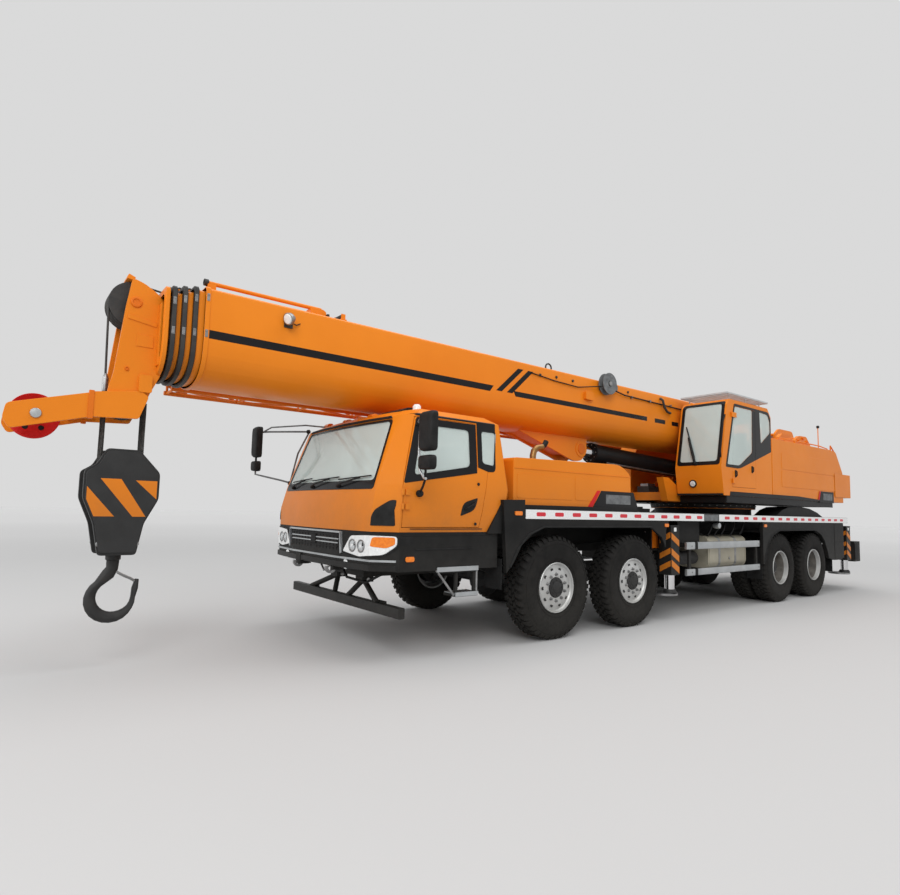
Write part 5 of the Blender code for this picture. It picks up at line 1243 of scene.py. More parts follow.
SIDE = (1.20, 1.45)
G1 = rounded([(-4.250, 3.270), (-4.835, 3.270), (-4.812, 2.545), (-4.375, 2.300), (-3.985, 2.300)],
             [0.04, 0.04, 0.05, 0.08, 0.03])
G2 = rounded([(-5.095, 3.270), (-5.400, 3.255), (-5.470, 3.140), (-5.475, 2.940), (-5.130, 2.725)],
             [0.03, 0.06, 0.03, 0.04, 0.03])
FRAME_OUT = rounded([(-4.222, 3.312), (-5.425, 3.305), (-5.508, 3.195), (-5.508, 2.610), (-4.375, 2.248),
                     (-3.925, 2.255)], [0.04, 0.06, 0.03, 0.02, 0.10, 0.04])
OP_SCREEN = rounded([(0.605, 2.30), (1.315, 2.30), (1.315, 3.315), (0.605, 3.315)], 0.05)
OP_SCREEN_IN = rounded([(0.640, 2.345), (1.280, 2.345), (1.280, 3.290), (0.640, 3.290)], 0.05)
R_PANE = rounded([(-4.10, 2.42), (-4.24, 3.25), (-5.40, 3.25), (-5.40, 2.42)], 0.05)
R_PANE_IN = rounded([(-4.14, 2.46), (-4.27, 3.21), (-5.36, 3.21), (-5.36, 2.46)], 0.05)
skin = carve("opcab_skin", op_solid(0.0), cut=[
    op_solid(0.045), solid(op_door(0.0), "y", SIDE), solid(G1, "y", SIDE), solid(G2, "y", SIDE),
    solid(R_PANE, "y", (0.4, 0.7)), solid(OP_SCREEN, "x", (-4.15, -3.6)),
    solid([(0.70, 2.75), (1.22, 2.75), (1.22, 3.15), (0.70, 3.15)], "x", (-5.7, -5.3))], mat=ORANGE)
finish_piece(skin, "superstructure", ("opcab_shell",), bevel=0.010, segments=2, sharp=30)
outside_door = solid([(-3.6, 1.5), (-3.6, 3.6), (-5.8, 3.6), (-5.8, 1.5)], "y", SIDE)
shell_side = carve("shell_side", outside_door, cut=[solid(op_door(-0.001), "y", (1.1, 1.6))], mat=ORANGE)
door_side = solid(op_door(0.005), "y", SIDE)


def op_patch(name, body, outline, axis, span, mat, out, thick, holes=(), within=None):
    cuts = [op_solid(-out + thick)] + [solid(hole, axis, (span[0] - 0.01, span[1] + 0.01)) for hole in holes]
    keep = [solid(outline, axis, span)]
    if within is not None:
        copy = within.copy()
        copy.data = within.data.copy()
        bpy.context.scene.collection.objects.link(copy)
        keep.append(copy)
    obj = carve(name, op_solid(-out), cut=cuts, keep=keep, mat=mat)
    return finish_piece(obj, body, sharp=25)


op_patch("op_frame_shell", "superstructure", FRAME_OUT, "y", SIDE, BAND, 0.003, 0.005, (G1, G2),
         shell_side)
op_patch("op_frame_door", "opcab_door", FRAME_OUT, "y", SIDE, BAND, 0.003, 0.005, (G1,), door_side)
op_patch("op_glass_front", "superstructure", G1, "y", SIDE, GLASS, -0.003, 0.007, (), shell_side)
op_patch("op_glass_door", "opcab_door", G1, "y", SIDE, GLASS, -0.003, 0.007, (), door_side)
op_patch("op_glass_rear", "superstructure", G2, "y", SIDE, GLASS, -0.003, 0.007)
op_patch("op_glass_right", "superstructure", R_PANE, "y", (0.45, 0.7), GLASS, -0.003, 0.007)
op_patch("op_frame_right", "superstructure",
         rounded([(-4.06, 2.38), (-4.21, 3.29), (-5.44, 3.29), (-5.44, 2.38)], 0.06), "y", (0.45, 0.7), BAND,
         0.003, 0.005, (R_PANE_IN,))
op_patch("op_screen_frame", "superstructure",
         rounded([(0.590, 2.285), (1.330, 2.285), (1.330, 3.335), (0.590, 3.335)], 0.05), "x", (-4.2, -3.6),
         BAND, 0.004, 0.010, (OP_SCREEN_IN,))
glass = op_patch("op_screen_glass", "superstructure", OP_SCREEN, "x", (-4.2, -3.6), GLASS, -0.004,
                 0.007)
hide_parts("opcab_windscreen")
door = carve("opcab_door_skin", op_solid(0.0), cut=[op_solid(0.045), solid(G1, "y", (1.1, 1.6))],
             keep=[solid(op_door(0.005), "y", (1.1, 1.6))], mat=ORANGE)
finish_piece(door, "opcab_door", ("opcab_door",), bevel=0.003, segments=1, sharp=30)
bpy.data.objects.remove(shell_side, do_unlink=True)
bpy.data.objects.remove(door_side, do_unlink=True)

kit = Kit("opcab_door_fittings")
for low, edge in ((2.00, -4.20), (3.08, -4.27)):
    kit.box((edge, OP_HINGE[0]), (1.3613, 1.381), (low, low + 0.08), ORANGE)
    kit.rod((*OP_HINGE, low), (*OP_HINGE, low + 0.08), 0.0148, ORANGE, 16)
for x, z in ((-4.80, 2.26), (-4.24, 2.16)):
    kit.prism_y(rounded_box(about(x, 0.022), about(z, 0.06), 0.02), (1.358, 1.368), SEAL)
    kit.path([(x, 1.364, z - 0.05), (x, 1.388, z - 0.03), (x, 1.388, z + 0.03), (x, 1.364, z + 0.05)], 0.009,
             SEAL, 8)
kit.make("opcab_door", bevel=0.002, segments=1)


def op_front(z):
    if z < 2.25:
        return -3.86 + 0.07 * (z - 1.80) / 0.45
    return -3.79 - 0.21 * (z - 2.25) / 1.03


kit = Kit("opcab_fittings")
# wiper, work lamp, grab rail and lower ledge
kit.boss(0.026, 0.022, 0.030, 0.034, (op_front(2.30) - 0.002, 0.93, 2.305), (1, 0, 0.2), SEAL, 20)
kit.path([(op_front(2.31) + 0.035, 0.93, 2.31), (op_front(2.50) + 0.040, 0.86, 2.50),
          (op_front(2.76) + 0.030, 0.77, 2.76)], 0.020, SEAL)
kit.path([(op_front(2.42) + 0.018, 0.90, 2.42), (op_front(2.95) + 0.018, 0.70, 2.95)], 0.010, SEAL, 8)
kit.turned([(0.0, -0.01), (0.060, -0.01), (0.064, 0.010), (0.060, 0.026), (0.050, 0.022), (0, 0.016)],
           (op_front(1.99), 0.86, 1.99), (1, 0, -0.15), SEAL, 32)
kit.turned([(0, 0.017), (0.048, 0.020), (0.040, 0.030), (0, 0.034)], (op_front(1.99), 0.86, 1.99),
           (1, 0, -0.15), WHITE, 32)
kit.path([(op_front(2.35) + 0.004, 1.345, 2.40), (op_front(2.5) + 0.05, 1.352, 2.50),
          (op_front(3.0) + 0.05, 1.352, 3.00), (op_front(3.1) + 0.004, 1.345, 3.10)], 0.011, BLACK, 8)
kit.box((-3.90, -3.83), (0.57, 1.35), (1.80, 1.83), SEAL)
kit.make("superstructure", bevel=0.002, segments=1)

# open grid over the operator's roof
GUARD = surface("guard_grey", (0.42, 0.425, 0.43), (0.54, 0.545, 0.55), 0.6, 0.0, scale=8.0, bump=0.05)
kit = Kit("roof_guard")
gx, gy = (-5.38, -3.98), (0.57, 1.37)
for y in gy:
    kit.box((gx[0], gx[1]), about(y, 0.012), (3.448, 3.474), GUARD)
for x in gx:
    kit.box(about(x, 0.012), gy, (3.448, 3.474), GUARD)
for k in range(1, 30):
    x = gx[0] + (gx[1] - gx[0]) * k / 30
    kit.box(about(x, 0.004), gy, (3.452, 3.470), GUARD)
for k in range(1, 8):
    y = gy[0] + (gy[1] - gy[0]) * k / 8
    kit.box(gx, about(y, 0.004), (3.455, 3.467), GUARD)
for x in (-5.20, -4.70, -4.16):
    for y in (0.62, 1.31):
        kit.rod((x, y, 3.355), (x, y, 3.455), 0.011, GUARD, 10)
kit.make("superstructure", bevel=0.0)

# machinery hoods
kit = Kit("hood_panels")
left = rounded([(-5.565, 1.80), (-5.565, 2.86), (-8.14, 2.86), (-8.42, 2.84), (-8.755, 2.42), (-8.755, 1.80)],
               [0.01, 0.03, 0.10, 0.06, 0.03, 0.01], 4)
right = rounded([(-4.105, 1.80), (-4.105, 2.40), (-4.40, 2.855), (-8.14, 2.855), (-8.42, 2.84),
                 (-8.755, 2.42), (-8.755, 1.80)], [0.02, 0.06, 0.10, 0.10, 0.06, 0.03, 0.01], 4)
kit.prism_y(left, (HOOD_INNER, 1.352), ORANGE)
kit.prism_y(right, (-1.352, -HOOD_INNER), ORANGE)
kit.box((-8.755, -8.29), (-0.60, 0.60), (1.855, 2.495), ORANGE)
kit.make("superstructure", ("superstructure_housing",), bevel=0.022, segments=3, sharp=40)

kit = Kit("hood_doors")
for out in (1, -1):
    y = beside(out, 1.350, 1.3575)
    kit.prism_y(rounded([(-5.92, 2.34), (-5.92, 2.64), (-8.20, 2.64), (-8.36, 2.34)], 0.04), y, ORANGE)
    kit.prism_y(rounded_box((-5.92, -8.40), (2.02, 2.315), 0.04), y, ORANGE)
    if out < 0:
        kit.prism_y(rounded([(-4.25, 2.02), (-4.25, 2.36), (-4.46, 2.70), (-5.80, 2.70), (-5.80, 2.02)],
                            0.05), y, ORANGE)
kit.make("superstructure", bevel=0.004, segments=2)
kit = Kit("hood_fittings")
for out in (1, -1):
    y = out * 1.358
    # dark sill along the bottom, with a plain plate at its rear end
    kit.box((-8.20, -3.98), beside(out, 1.330, 1.3455), (1.692, 1.80), BLACK)
    kit.prism_y([(-4.04, 1.80), (-4.06, 1.868), (-6.6, 1.868), (-7.55, 1.83), (-8.19, 1.83), (-8.19, 1.80)],
                beside(out, 1.352, 1.3625), BLACK)
    kit.prism_y([(-7.52, 1.78), (-7.60, 2.00), (-8.22, 2.00), (-8.22, 1.78)], beside(out, 1.358, 1.364),
                BLACK)
    kit.prism_y([(-7.46, 1.83), (-7.535, 2.00), (-7.59, 2.00), (-7.515, 1.83)], beside(out, 1.358, 1.3645),
                RED)
    kit.prism_y(rounded_box((-7.70, -8.14), (1.83, 1.96), 0.01), beside(out, 1.363, 1.3665), GREY)
kit.box((-5.60, -3.96), (HOOD_INNER, 1.34), (1.685, 1.798), BLACK)
kit.box((-8.15, -3.97), (-1.335, -HOOD_INNER), (1.695, 1.80), BLACK)
kit.box((-8.15, -5.60), (HOOD_INNER, 1.335), (1.695, 1.80), BLACK)
for y in (0.95, -0.95):
    for k in range(9):
        kit.box((-6.35 - 0.07 * k, -6.32 - 0.07 * k), about(y, 0.20), (2.858, 2.868), SEAL)
    kit.path([(-7.2, y + 0.18, 2.862), (-7.2, y + 0.18, 2.90), (-7.5, y + 0.18, 2.90),
              (-7.5, y + 0.18, 2.862)], 0.010, BLACK, 8)
kit.path([(-7.0, -1.0, 2.85), (-7.0, -1.0, 3.02), (-7.05, -1.0, 3.07), (-7.15, -1.0, 3.10)], 0.045, STEEL, 16)
kit.make("superstructure", bevel=0.002, segments=1)

kit = Kit("ballast")
half = [(-9.27, 1.10), (-9.13, 1.36), (-8.30, 1.3652), (-8.30, 1.3604), (-8.7605, 1.3603)]
outline = [(x, y) for x, y in half] + [(x, -y) for x, y in reversed(half)]
kit.prism_z(outline, (1.91, 2.39), ORANGE)
kit.make("superstructure", ("counterweight",), bevel=0.018, segments=3, sharp=30)
kit = Kit("ballast_fittings")
for y in (-0.7, 0.7):
    kit.path([(-9.0, y - 0.07, 2.385), (-9.0, y - 0.07, 2.44), (-9.0, y + 0.07, 2.44),
              (-9.0, y + 0.07, 2.385)], 0.016, ORANGE_DEEP, 12)
    kit.boss(0.055, 0.050, 0.012, 0.014, (-9.269, y, 2.20), (-1, 0, 0), COLLAR, 24)
kit.box((-9.274, -9.268), (-0.9, 0.9), (2.14, 2.15), SEAL)
for y in (-1.0, 1.0):
    kit.prism_x(rounded_box(about(y, 0.10), (1.96, 2.02), 0.01), (-9.278, -9.268), LAMP_RED)
for k in range(10):
    y = -0.85 + 0.19 * k
    kit.prism_x([(y - 0.05, 1.935), (y + 0.02, 1.935), (y + 0.05, 1.99), (y - 0.02, 1.99)], (-9.273, -9.268),
                BAND)
kit.make("superstructure", bevel=0.002, segments=1)

# winches with wound rope
kit = Kit("winch_frames")
plate = rounded([(-8.72, 2.5003), (-8.30, 2.5003), (-7.78, 2.90), (-7.78, 3.25), (-7.95, 3.36),
                 (-8.60, 3.36), (-8.72, 3.15)], [0.01, 0.05, 0.03, 0.05, 0.05, 0.08, 0.04], 3)
for out in (1, -1):
    kit.prism_y(plate, beside(out, 0.405, 0.45), ORANGE)
    for x, z in DRUMS:
        kit.turned([(0, 0.0), (0.115, 0.0), (0.110, 0.018), (0.07, 0.030), (0.03, 0.034), (0, 0.034)],
                   (x, out * 0.448, z), (0, out, 0), COLLAR, 32)
        for i in range(8):
            a = math.pi * i / 4
            kit.boss(0.010, 0.009, 0.024, 0.026,
                     (x + 0.092 * math.cos(a), out * 0.45, z + 0.092 * math.sin(a)), (0, out, 0), STEEL, 8)
kit.rod((-8.62, -0.41, 3.29), (-8.62, 0.41, 3.29), 0.03, ORANGE)
kit.rod((-7.86, -0.41, 3.23), (-7.86, 0.41, 3.23), 0.03, ORANGE)
kit.box((-8.70, -8.35), (-0.41, 0.41), (2.505, 2.54), ORANGE)
kit.make("superstructure", ("winches",), bevel=0.006)
kit = Kit("winch_drums")
for x, z in DRUMS:
    for out in (1, -1):
        kit.turned([(0.03, 0.33), (0.198, 0.33), (0.200, 0.335), (0.200, 0.355), (0.195, 0.360),
                    (0.03, 0.360)], (x, 0, z), (0, out, 0), ORANGE_DEEP, 48)
    ridge = []
    for k in range(30):
        y = -0.327 + 0.0218 * k
        ridge += [(0.150, y), (0.160, y + 0.0055), (0.163, y + 0.0109), (0.160, y + 0.0163)]
    kit.turned(ridge + [(0.150, 0.327), (0.05, 0.327), (0.05, -0.327)], (x, 0, z), ACROSS, ROPE, 40)
kit.make("superstructure", bevel=0.0, sharp=60)

kit = Kit("tail_mast")
kit.rod((-8.40, 1.04, 2.80), (-8.40, 1.04, 3.36), 0.009, ORANGE)
kit.turned([(0, -0.03), (0.026, -0.02), (0.030, 0.015), (0.020, 0.030), (0, 0.032)], (-8.40, 1.04, 3.385),
           UP, SEAL, 20)
# hydraulic lines, valve block and hand rail over the left hood
for k in range(5):
    y = 0.62 + 0.09 * k
    kit.path([(-6.1, y, 2.85), (-6.2, y, 2.95), (-6.5 - 0.1 * k, y, 3.02 - 0.012 * k),
              (-7.3, y, 2.98 - 0.01 * k), (-7.7, y, 2.92), (-7.8, y, 2.85)], 0.020, ORANGE_DEEP, 10)
kit.prism_y(rounded([(-7.30, 2.85), (-7.36, 3.10), (-7.52, 3.20), (-7.86, 3.21), (-8.02, 3.02),
                     (-8.14, 2.85)], 0.04), (0.62, 0.70), ORANGE)
kit.prism_y(rounded([(-7.30, 2.85), (-7.36, 3.04), (-7.52, 3.12), (-7.86, 3.13), (-8.02, 3.00),
                     (-8.14, 2.85)], 0.04), (0.96, 1.02), ORANGE)
for x, z in ((-7.45, 3.02), (-7.66, 3.08), (-7.86, 3.02), (-7.66, 2.93)):
    kit.rod((x, 0.66, z), (x, 1.05, z), 0.028, ORANGE_DEEP, 14)
kit.path([(-6.0, 1.24, 2.85), (-6.0, 1.24, 2.93), (-7.9, 1.24, 2.93), (-8.3, 1.24, 2.90),
          (-8.3, 1.24, 2.82)], 0.012, ORANGE)
for y in (1.30, -1.30):
    kit.path([(-8.30, y, 2.84), (-8.30, y, 2.96), (-8.55, y, 2.80), (-8.72, y, 2.60), (-8.72, y, 2.45)],
             0.014, ORANGE_DEEP)
kit.box((-7.72, -7.60), (0.45, 0.75), (2.86, 3.06), ORANGE)
kit.box((-8.30, -7.74), (0.50, 0.90), (2.86, 2.97), ORANGE)
kit.prism_y(rounded([(-6.9, 2.86), (-6.95, 3.02), (-7.45, 3.02), (-7.5, 2.86)], 0.03), (0.60, 1.0), ORANGE)
kit.make("superstructure", bevel=0.006)

# slewing ring, hoses to the cylinder
kit = Kit("slew_ring")
kit.turned([(0.865, 1.612), (0.925, 1.612), (0.931, 1.620), (0.931, 1.700), (0.925, 1.708), (0.865, 1.708)],
           (SLEW_X, 0, 0), UP, COLLAR, 96)
for i in range(48):
    a = math.tau * i / 48
    kit.rod((SLEW_X + 0.929 * math.cos(a), 0.929 * math.sin(a), 1.66),
            (SLEW_X + 0.942 * math.cos(a), 0.942 * math.sin(a), 1.66), 0.012, STEEL, 6)
for y, dz in ((0.30, 0.0), (0.34, 0.03), (0.38, -0.02)):
    kit.path([(-4.05, y, 1.84), (-4.15, y, 2.02 + dz), (-4.45, y, 2.12 + dz), (-4.90, y - 0.08, 2.05),
              (-5.30, y - 0.1, 1.9)], 0.016, SEAL, 10)
kit.box((-4.40, -4.10), (-0.40, -0.16), (1.82, 1.98), COLLAR)
kit.box((-4.36, -4.14), (-0.36, -0.20), (1.98, 2.03), STEEL)
kit.make("superstructure", bevel=0.003, segments=1)

# luffing cylinder
low, high = (Vector((x, 0.0, z)) for x, z in (CYLINDER_FOOT, CYLINDER_EYE))
way = (high - low).normalized()
length = (high - low).length
kit = Kit("cylinder_barrel")
kit.turned([(0, 0.06), (0.10, 0.06), (0.148, 0.17), (0.150, 0.19), (0.150, length - 0.515),
            (0.161, length - 0.505), (0.161, length - 0.405), (0.150, length - 0.400),
            (0.0905, length - 0.400), (0.0905, length - 0.46), (0, length - 0.46)], tuple(low), tuple(way),
           BLACK, 64)
kit.turned([(0.0605, -0.154), (0.138, -0.154), (0.139, -0.148), (0.139, 0.148), (0.138, 0.154),
            (0.0605, 0.154)], tuple(low), ACROSS, BLACK, 40)
kit.path([tuple(low + way * 0.30 + Vector((0, 0.10, -0.135))),
          tuple(low + way * 1.3 + Vector((0, 0.10, -0.135))),
          tuple(low + way * 2.55 + Vector((0, 0.10, -0.135)))], 0.014, STEEL, 8)
for k in range(10):
    a = math.tau * k / 10
    side = Vector((0, 1, 0))
    up = way.cross(side)
    spot = low + way * (length - 0.402) + (side * math.cos(a) + up * math.sin(a)) * 0.13
    kit.boss(0.010, 0.010, 0.010, 0.012, tuple(spot), tuple(way), STEEL, 6)
kit.make("luff_barrel", ("luff_barrel",), sharp=35)
kit = Kit("cylinder_rod")
kit.turned([(0, 0.5), (0.0885, 0.5), (0.0885, length - 0.16), (0.080, length - 0.13), (0, length - 0.13)],
           tuple(low), tuple(way), CHROME, 48)
kit.turned([(0.050, -0.118), (0.124, -0.118), (0.128, -0.112), (0.128, 0.112), (0.124, 0.118),
            (0.050, 0.118)], tuple(high), ACROSS, IRON, 40)
kit.make("luff_rod", ("luff_rod",), sharp=35)

# ---------------------------------------------------------------- engine cover
kit = Kit("engine_hood")
kit.prism_y(rounded([(-1.535, 1.497), (0.655, 1.497), (0.655, 2.078), (-1.30, 2.115), (-1.515, 1.99)],
                    [0.01, 0.01, 0.05, 0.12, 0.06], 4), (-1.295, 1.295), ORANGE)
kit.make("carrier", ("engine_cover", "engine"), bevel=0.020, segments=3, sharp=40)
kit = Kit("engine_hood_trim")
for out in (1, -1):
    y = out * 1.295
    kit.prism_y(rounded([(0.60, 1.62), (0.60, 1.90), (-0.35, 1.91), (-0.35, 1.62)], 0.03),
                outward(y, out, 0.004), ORANGE)
    kit.prism_y(rounded([(-0.39, 1.62), (-0.39, 1.91), (-1.40, 1.92), (-1.46, 1.80), (-1.46, 1.62)], 0.03),
                outward(y, out, 0.004), ORANGE)
    kit.box((-1.52, 0.65), outward(y, out, 0.006), (1.955, 1.962), ORANGE)
    # plain black plate with a red slash
    kit.prism_y([(-0.73, 1.545), (-0.89, 1.755), (-1.57, 1.755), (-1.67, 1.545)], outward(y, out, 0.009),
                BAND)
    kit.prism_y([(-0.63, 1.545), (-0.81, 1.755), (-0.875, 1.755), (-0.715, 1.545)], outward(y, out, 0.0095),
                RED)
    kit.prism_y(rounded_box((-0.98, -1.50), (1.590, 1.710), 0.01),
                sorted((y + out * 0.008, y + out * 0.011)), GREY)
    kit.box((-1.60, 0.54), beside(out, 1.290, 1.345), (1.495, 1.545), BLACK)
for y in (-0.7, 0.0, 0.7):
    for k in range(8):
        kit.box((-0.10 - 0.075 * k, -0.065 - 0.075 * k), about(y, 0.18),
                (2.088 + 0.0014 * k, 2.102 + 0.0014 * k), SEAL)
# exhaust stack
HEATED = surface("heated_steel", (0.20, 0.10, 0.03), (0.36, 0.20, 0.07), 0.38, 0.8, scale=7.0, bump=0.05)
kit.path([(-0.05, 0.90, 2.07), (-0.05, 0.90, 2.17), (-0.07, 0.90, 2.23), (-0.12, 0.90, 2.27),
          (-0.22, 0.90, 2.29)], 0.040, HEATED, 24)
kit.path([(-0.20, 0.90, 2.285), (-0.26, 0.90, 2.32), (-0.29, 0.90, 2.37)], 0.034, SEAL, 20)
kit.turned([(0.05, -0.01), (0.085, -0.01), (0.085, 0.012), (0.05, 0.012)], (-0.05, 0.90, 2.10), UP, IRON, 32)
kit.make("carrier", bevel=0.003, segments=1)

# intake tower between the cab and the hood
kit = Kit("air_intake")
kit.prism_z(rounded_box((0.70, 0.76), (-0.95, -0.62), 0.02), (1.60, 2.40), BLACK)
for k in range(10):
    kit.box((0.69, 0.765), (-0.93, -0.64), (2.12 + 0.025 * k, 2.13 + 0.025 * k), SEAL)
kit.make("carrier", bevel=0.003)

# ---------------------------------------------------------------- deck edges
kit = Kit("edge_tape")
RED_TAPE = surface("tape_red", (0.55, 0.015, 0.03), (0.66, 0.03, 0.045), 0.3, scale=60.0, bump=0.2, coat=0.4)
WHITE_TAPE = surface("tape_white", (0.72, 0.73, 0.73), (0.84, 0.85, 0.85), 0.3, scale=60.0, bump=0.2,
                     coat=0.4)
for out in (1, -1):
    for x0, x1 in ((0.54, -3.22), (-3.66, -8.84)):
        kit.box((x1, x0), beside(out, 1.3795, 1.3825), (1.388, 1.492), WHITE_TAPE)
        x = x0 - 0.17
        while x > x1 + 0.12:
            kit.prism_y(rounded_box((x, x - 0.150), (1.418, 1.464), 0.018, 3), beside(out, 1.382, 1.3840),
                        RED_TAPE)
            x -= 0.308
    kit.box((-3.64, -3.24), beside(out, 1.3795, 1.3815), (1.395, 1.485), GREY)
kit.make("carrier")

kit = Kit("deck_fittings")
for out in (1, -1):
    side = out * 1.38
    kit.prism_y(rounded_box((0.71, 0.60), (1.425, 1.470), 0.015), outward(side, out, 0.012), AMBER)
    for x in (-2.18, -5.14):
        kit.prism_y(rounded_box((x, x - 0.09), (1.300, 1.345), 0.015),
                    sorted((side - out * 0.02, side + out * 0.010)), AMBER)
    kit.box((-8.60, -8.14), sorted((side - out * 0.01, side + out * 0.004)), (0.68, 1.37), CHASSIS)
    kit.box((-8.58, -8.16), outward(side, out, 0.008), (1.00, 1.012), SEAL)
    # leading edge over the rear corner of the cab
    kit.prism_y([(0.868, 1.56), (1.070, 1.225), (0.868, 1.225)], beside(out, 1.312, 1.345), CHASSIS)
    # rubber flaps
    for x in (0.86, -5.125, -8.10):
        kit.box(about(x, 0.006), beside(out, 1.08, 1.34), (0.42 if x < 0 else 0.62, 0.95), SEAL)
    # front arch lip
    kit.path([(0.77, side, 0.86), (0.66, side, 1.05), (0.49, side, 1.21), (0.24, side, 1.298),
              (-1.86, side, 1.298), (-2.10, side, 1.165), (-2.19, side, 1.03)], 0.012, SEAL, 8)
    kit.path([(-5.145, side, 0.70), (-5.19, side, 0.845), (-5.30, side, 1.035), (-5.46, side, 1.165),
              (-5.72, side, 1.245), (-7.22, side, 1.245), (-7.48, side, 1.165), (-7.64, side, 1.035),
              (-7.76, side, 0.845), (-7.82, side, 0.72)], 0.012, SEAL, 8)
# chequered walkway: raised bars on the plate
for y0, y1 in ((0.62, 1.30), (-1.30, -0.62)):
    for k in range(24):
        x = -1.75 - 0.13 * k
        for j in range(5):
            y = y0 + 0.07 + 0.135 * j
            lean = 0.03 if (k + j) % 2 else -0.03
            kit.prism_z([(x - 0.03, y - 0.008 - lean), (x + 0.03, y + lean),
                         (x + 0.03, y + 0.010 + lean), (x - 0.03, y + 0.002 - lean)],
                        (DECK_TOP, 1.4985), ALLOY)
kit.make("carrier", bevel=0.0)

# locker, air tanks, hoses and drive shafts on the chassis
kit = Kit("chassis_fittings")
kit.box((-3.40, -2.80), (0.50, 1.20), (1.00, 1.44), CHASSIS)
kit.rod((-2.95, 0.80, 0.80), (-3.45, 0.80, 0.80), 0.12, IRON, 24)
kit.rod((-2.95, 1.05, 0.82), (-3.45, 1.05, 0.82), 0.10, IRON, 24)
for x in (-3.60, -3.80, -4.00, -4.30, -4.60):
    kit.path([(x, 1.22, 1.16), (x - 0.05, 1.25, 1.26), (x - 0.15, 1.22, 1.36), (x - 0.2, 1.0, 1.42)], 0.012,
             SEAL, 8)
kit.turned([(0, -0.05), (0.045, -0.05), (0.050, 0.0), (0.045, 0.04), (0, 0.045)], (-3.75, 1.30, 1.32),
           ACROSS, ALLOY, 24)
kit.box((-2.30, -1.70), (-0.95, 0.95), (DECK_TOP, 1.580), CHASSIS)
kit.box((-3.00, -2.32), (-0.60, 0.60), (DECK_TOP, 1.560), CHASSIS)
kit.rod((1.95, 0.45, 0.90), (-8.9, 0.45, 1.30), 0.012, SEAL, 6)
kit.rod((0.2, 0.0, 0.62), (-1.3, 0.0, 0.62), 0.05, IRON, 16)
kit.rod((-1.7, 0.0, 0.66), (-5.5, 0.0, 0.62), 0.06, IRON, 16)
kit.rod((-5.95, -0.1, 0.60), (-7.0, -0.1, 0.60), 0.05, IRON, 16)
for y in (-0.9, 0.9):
    kit.rod((-8.72, y - 0.2, 1.15), (-8.72, y + 0.2, 1.15), 0.13, IRON, 24)
kit.make("carrier", bevel=0.003, segments=1)

# rear: lamps, blank plate, tow coupling and ladder
kit = Kit("rear_lamps")
for out in (1, -1):
    kit.prism_x(rounded_box((out * 1.12, out * 1.34), (0.64, 0.94), 0.03), (-9.556, -9.548), SEAL)
    kit.prism_x(rounded_box((out * 1.14, out * 1.32), (0.84, 0.92), 0.02), (-9.564, -9.554), AMBER)
    kit.prism_x(rounded_box((out * 1.14, out * 1.32), (0.75, 0.83), 0.02), (-9.564, -9.554), LAMP_RED)
    kit.prism_x(rounded_box((out * 1.14, out * 1.32), (0.66, 0.74), 0.02), (-9.564, -9.554), WHITE)
    kit.prism_x([(out * 0.45, 0.66), (out * 0.45, 0.72), (out * 1.05, 0.72), (out * 1.05, 0.66)],
                (-9.555, -9.549), RED_TAPE)
    kit.box((-9.40, -9.24), beside(out, 1.36, 1.372), (0.62, 0.96), SEAL)
kit.prism_x(rounded_box((-0.28, 0.28), (0.65, 0.77), 0.01), (-9.558, -9.549), WHITE)
kit.turned([(0.02, -0.10), (0.05, -0.10), (0.06, 0.0), (0.045, 0.05), (0.02, 0.05)], (-9.30, 0, 1.0),
           (-1, 0, 0), IRON, 24)
for x in (0.46, 0.90):
    kit.rod((-8.86, x, 0.66), (-8.86, x, 1.49), 0.014, ALLOY)
for z in (0.74, 0.98, 1.22, 1.44):
    kit.rod((-8.86, 0.46, z), (-8.86, 0.90, z), 0.014, ALLOY)
kit.make("carrier", bevel=0.002, segments=1)

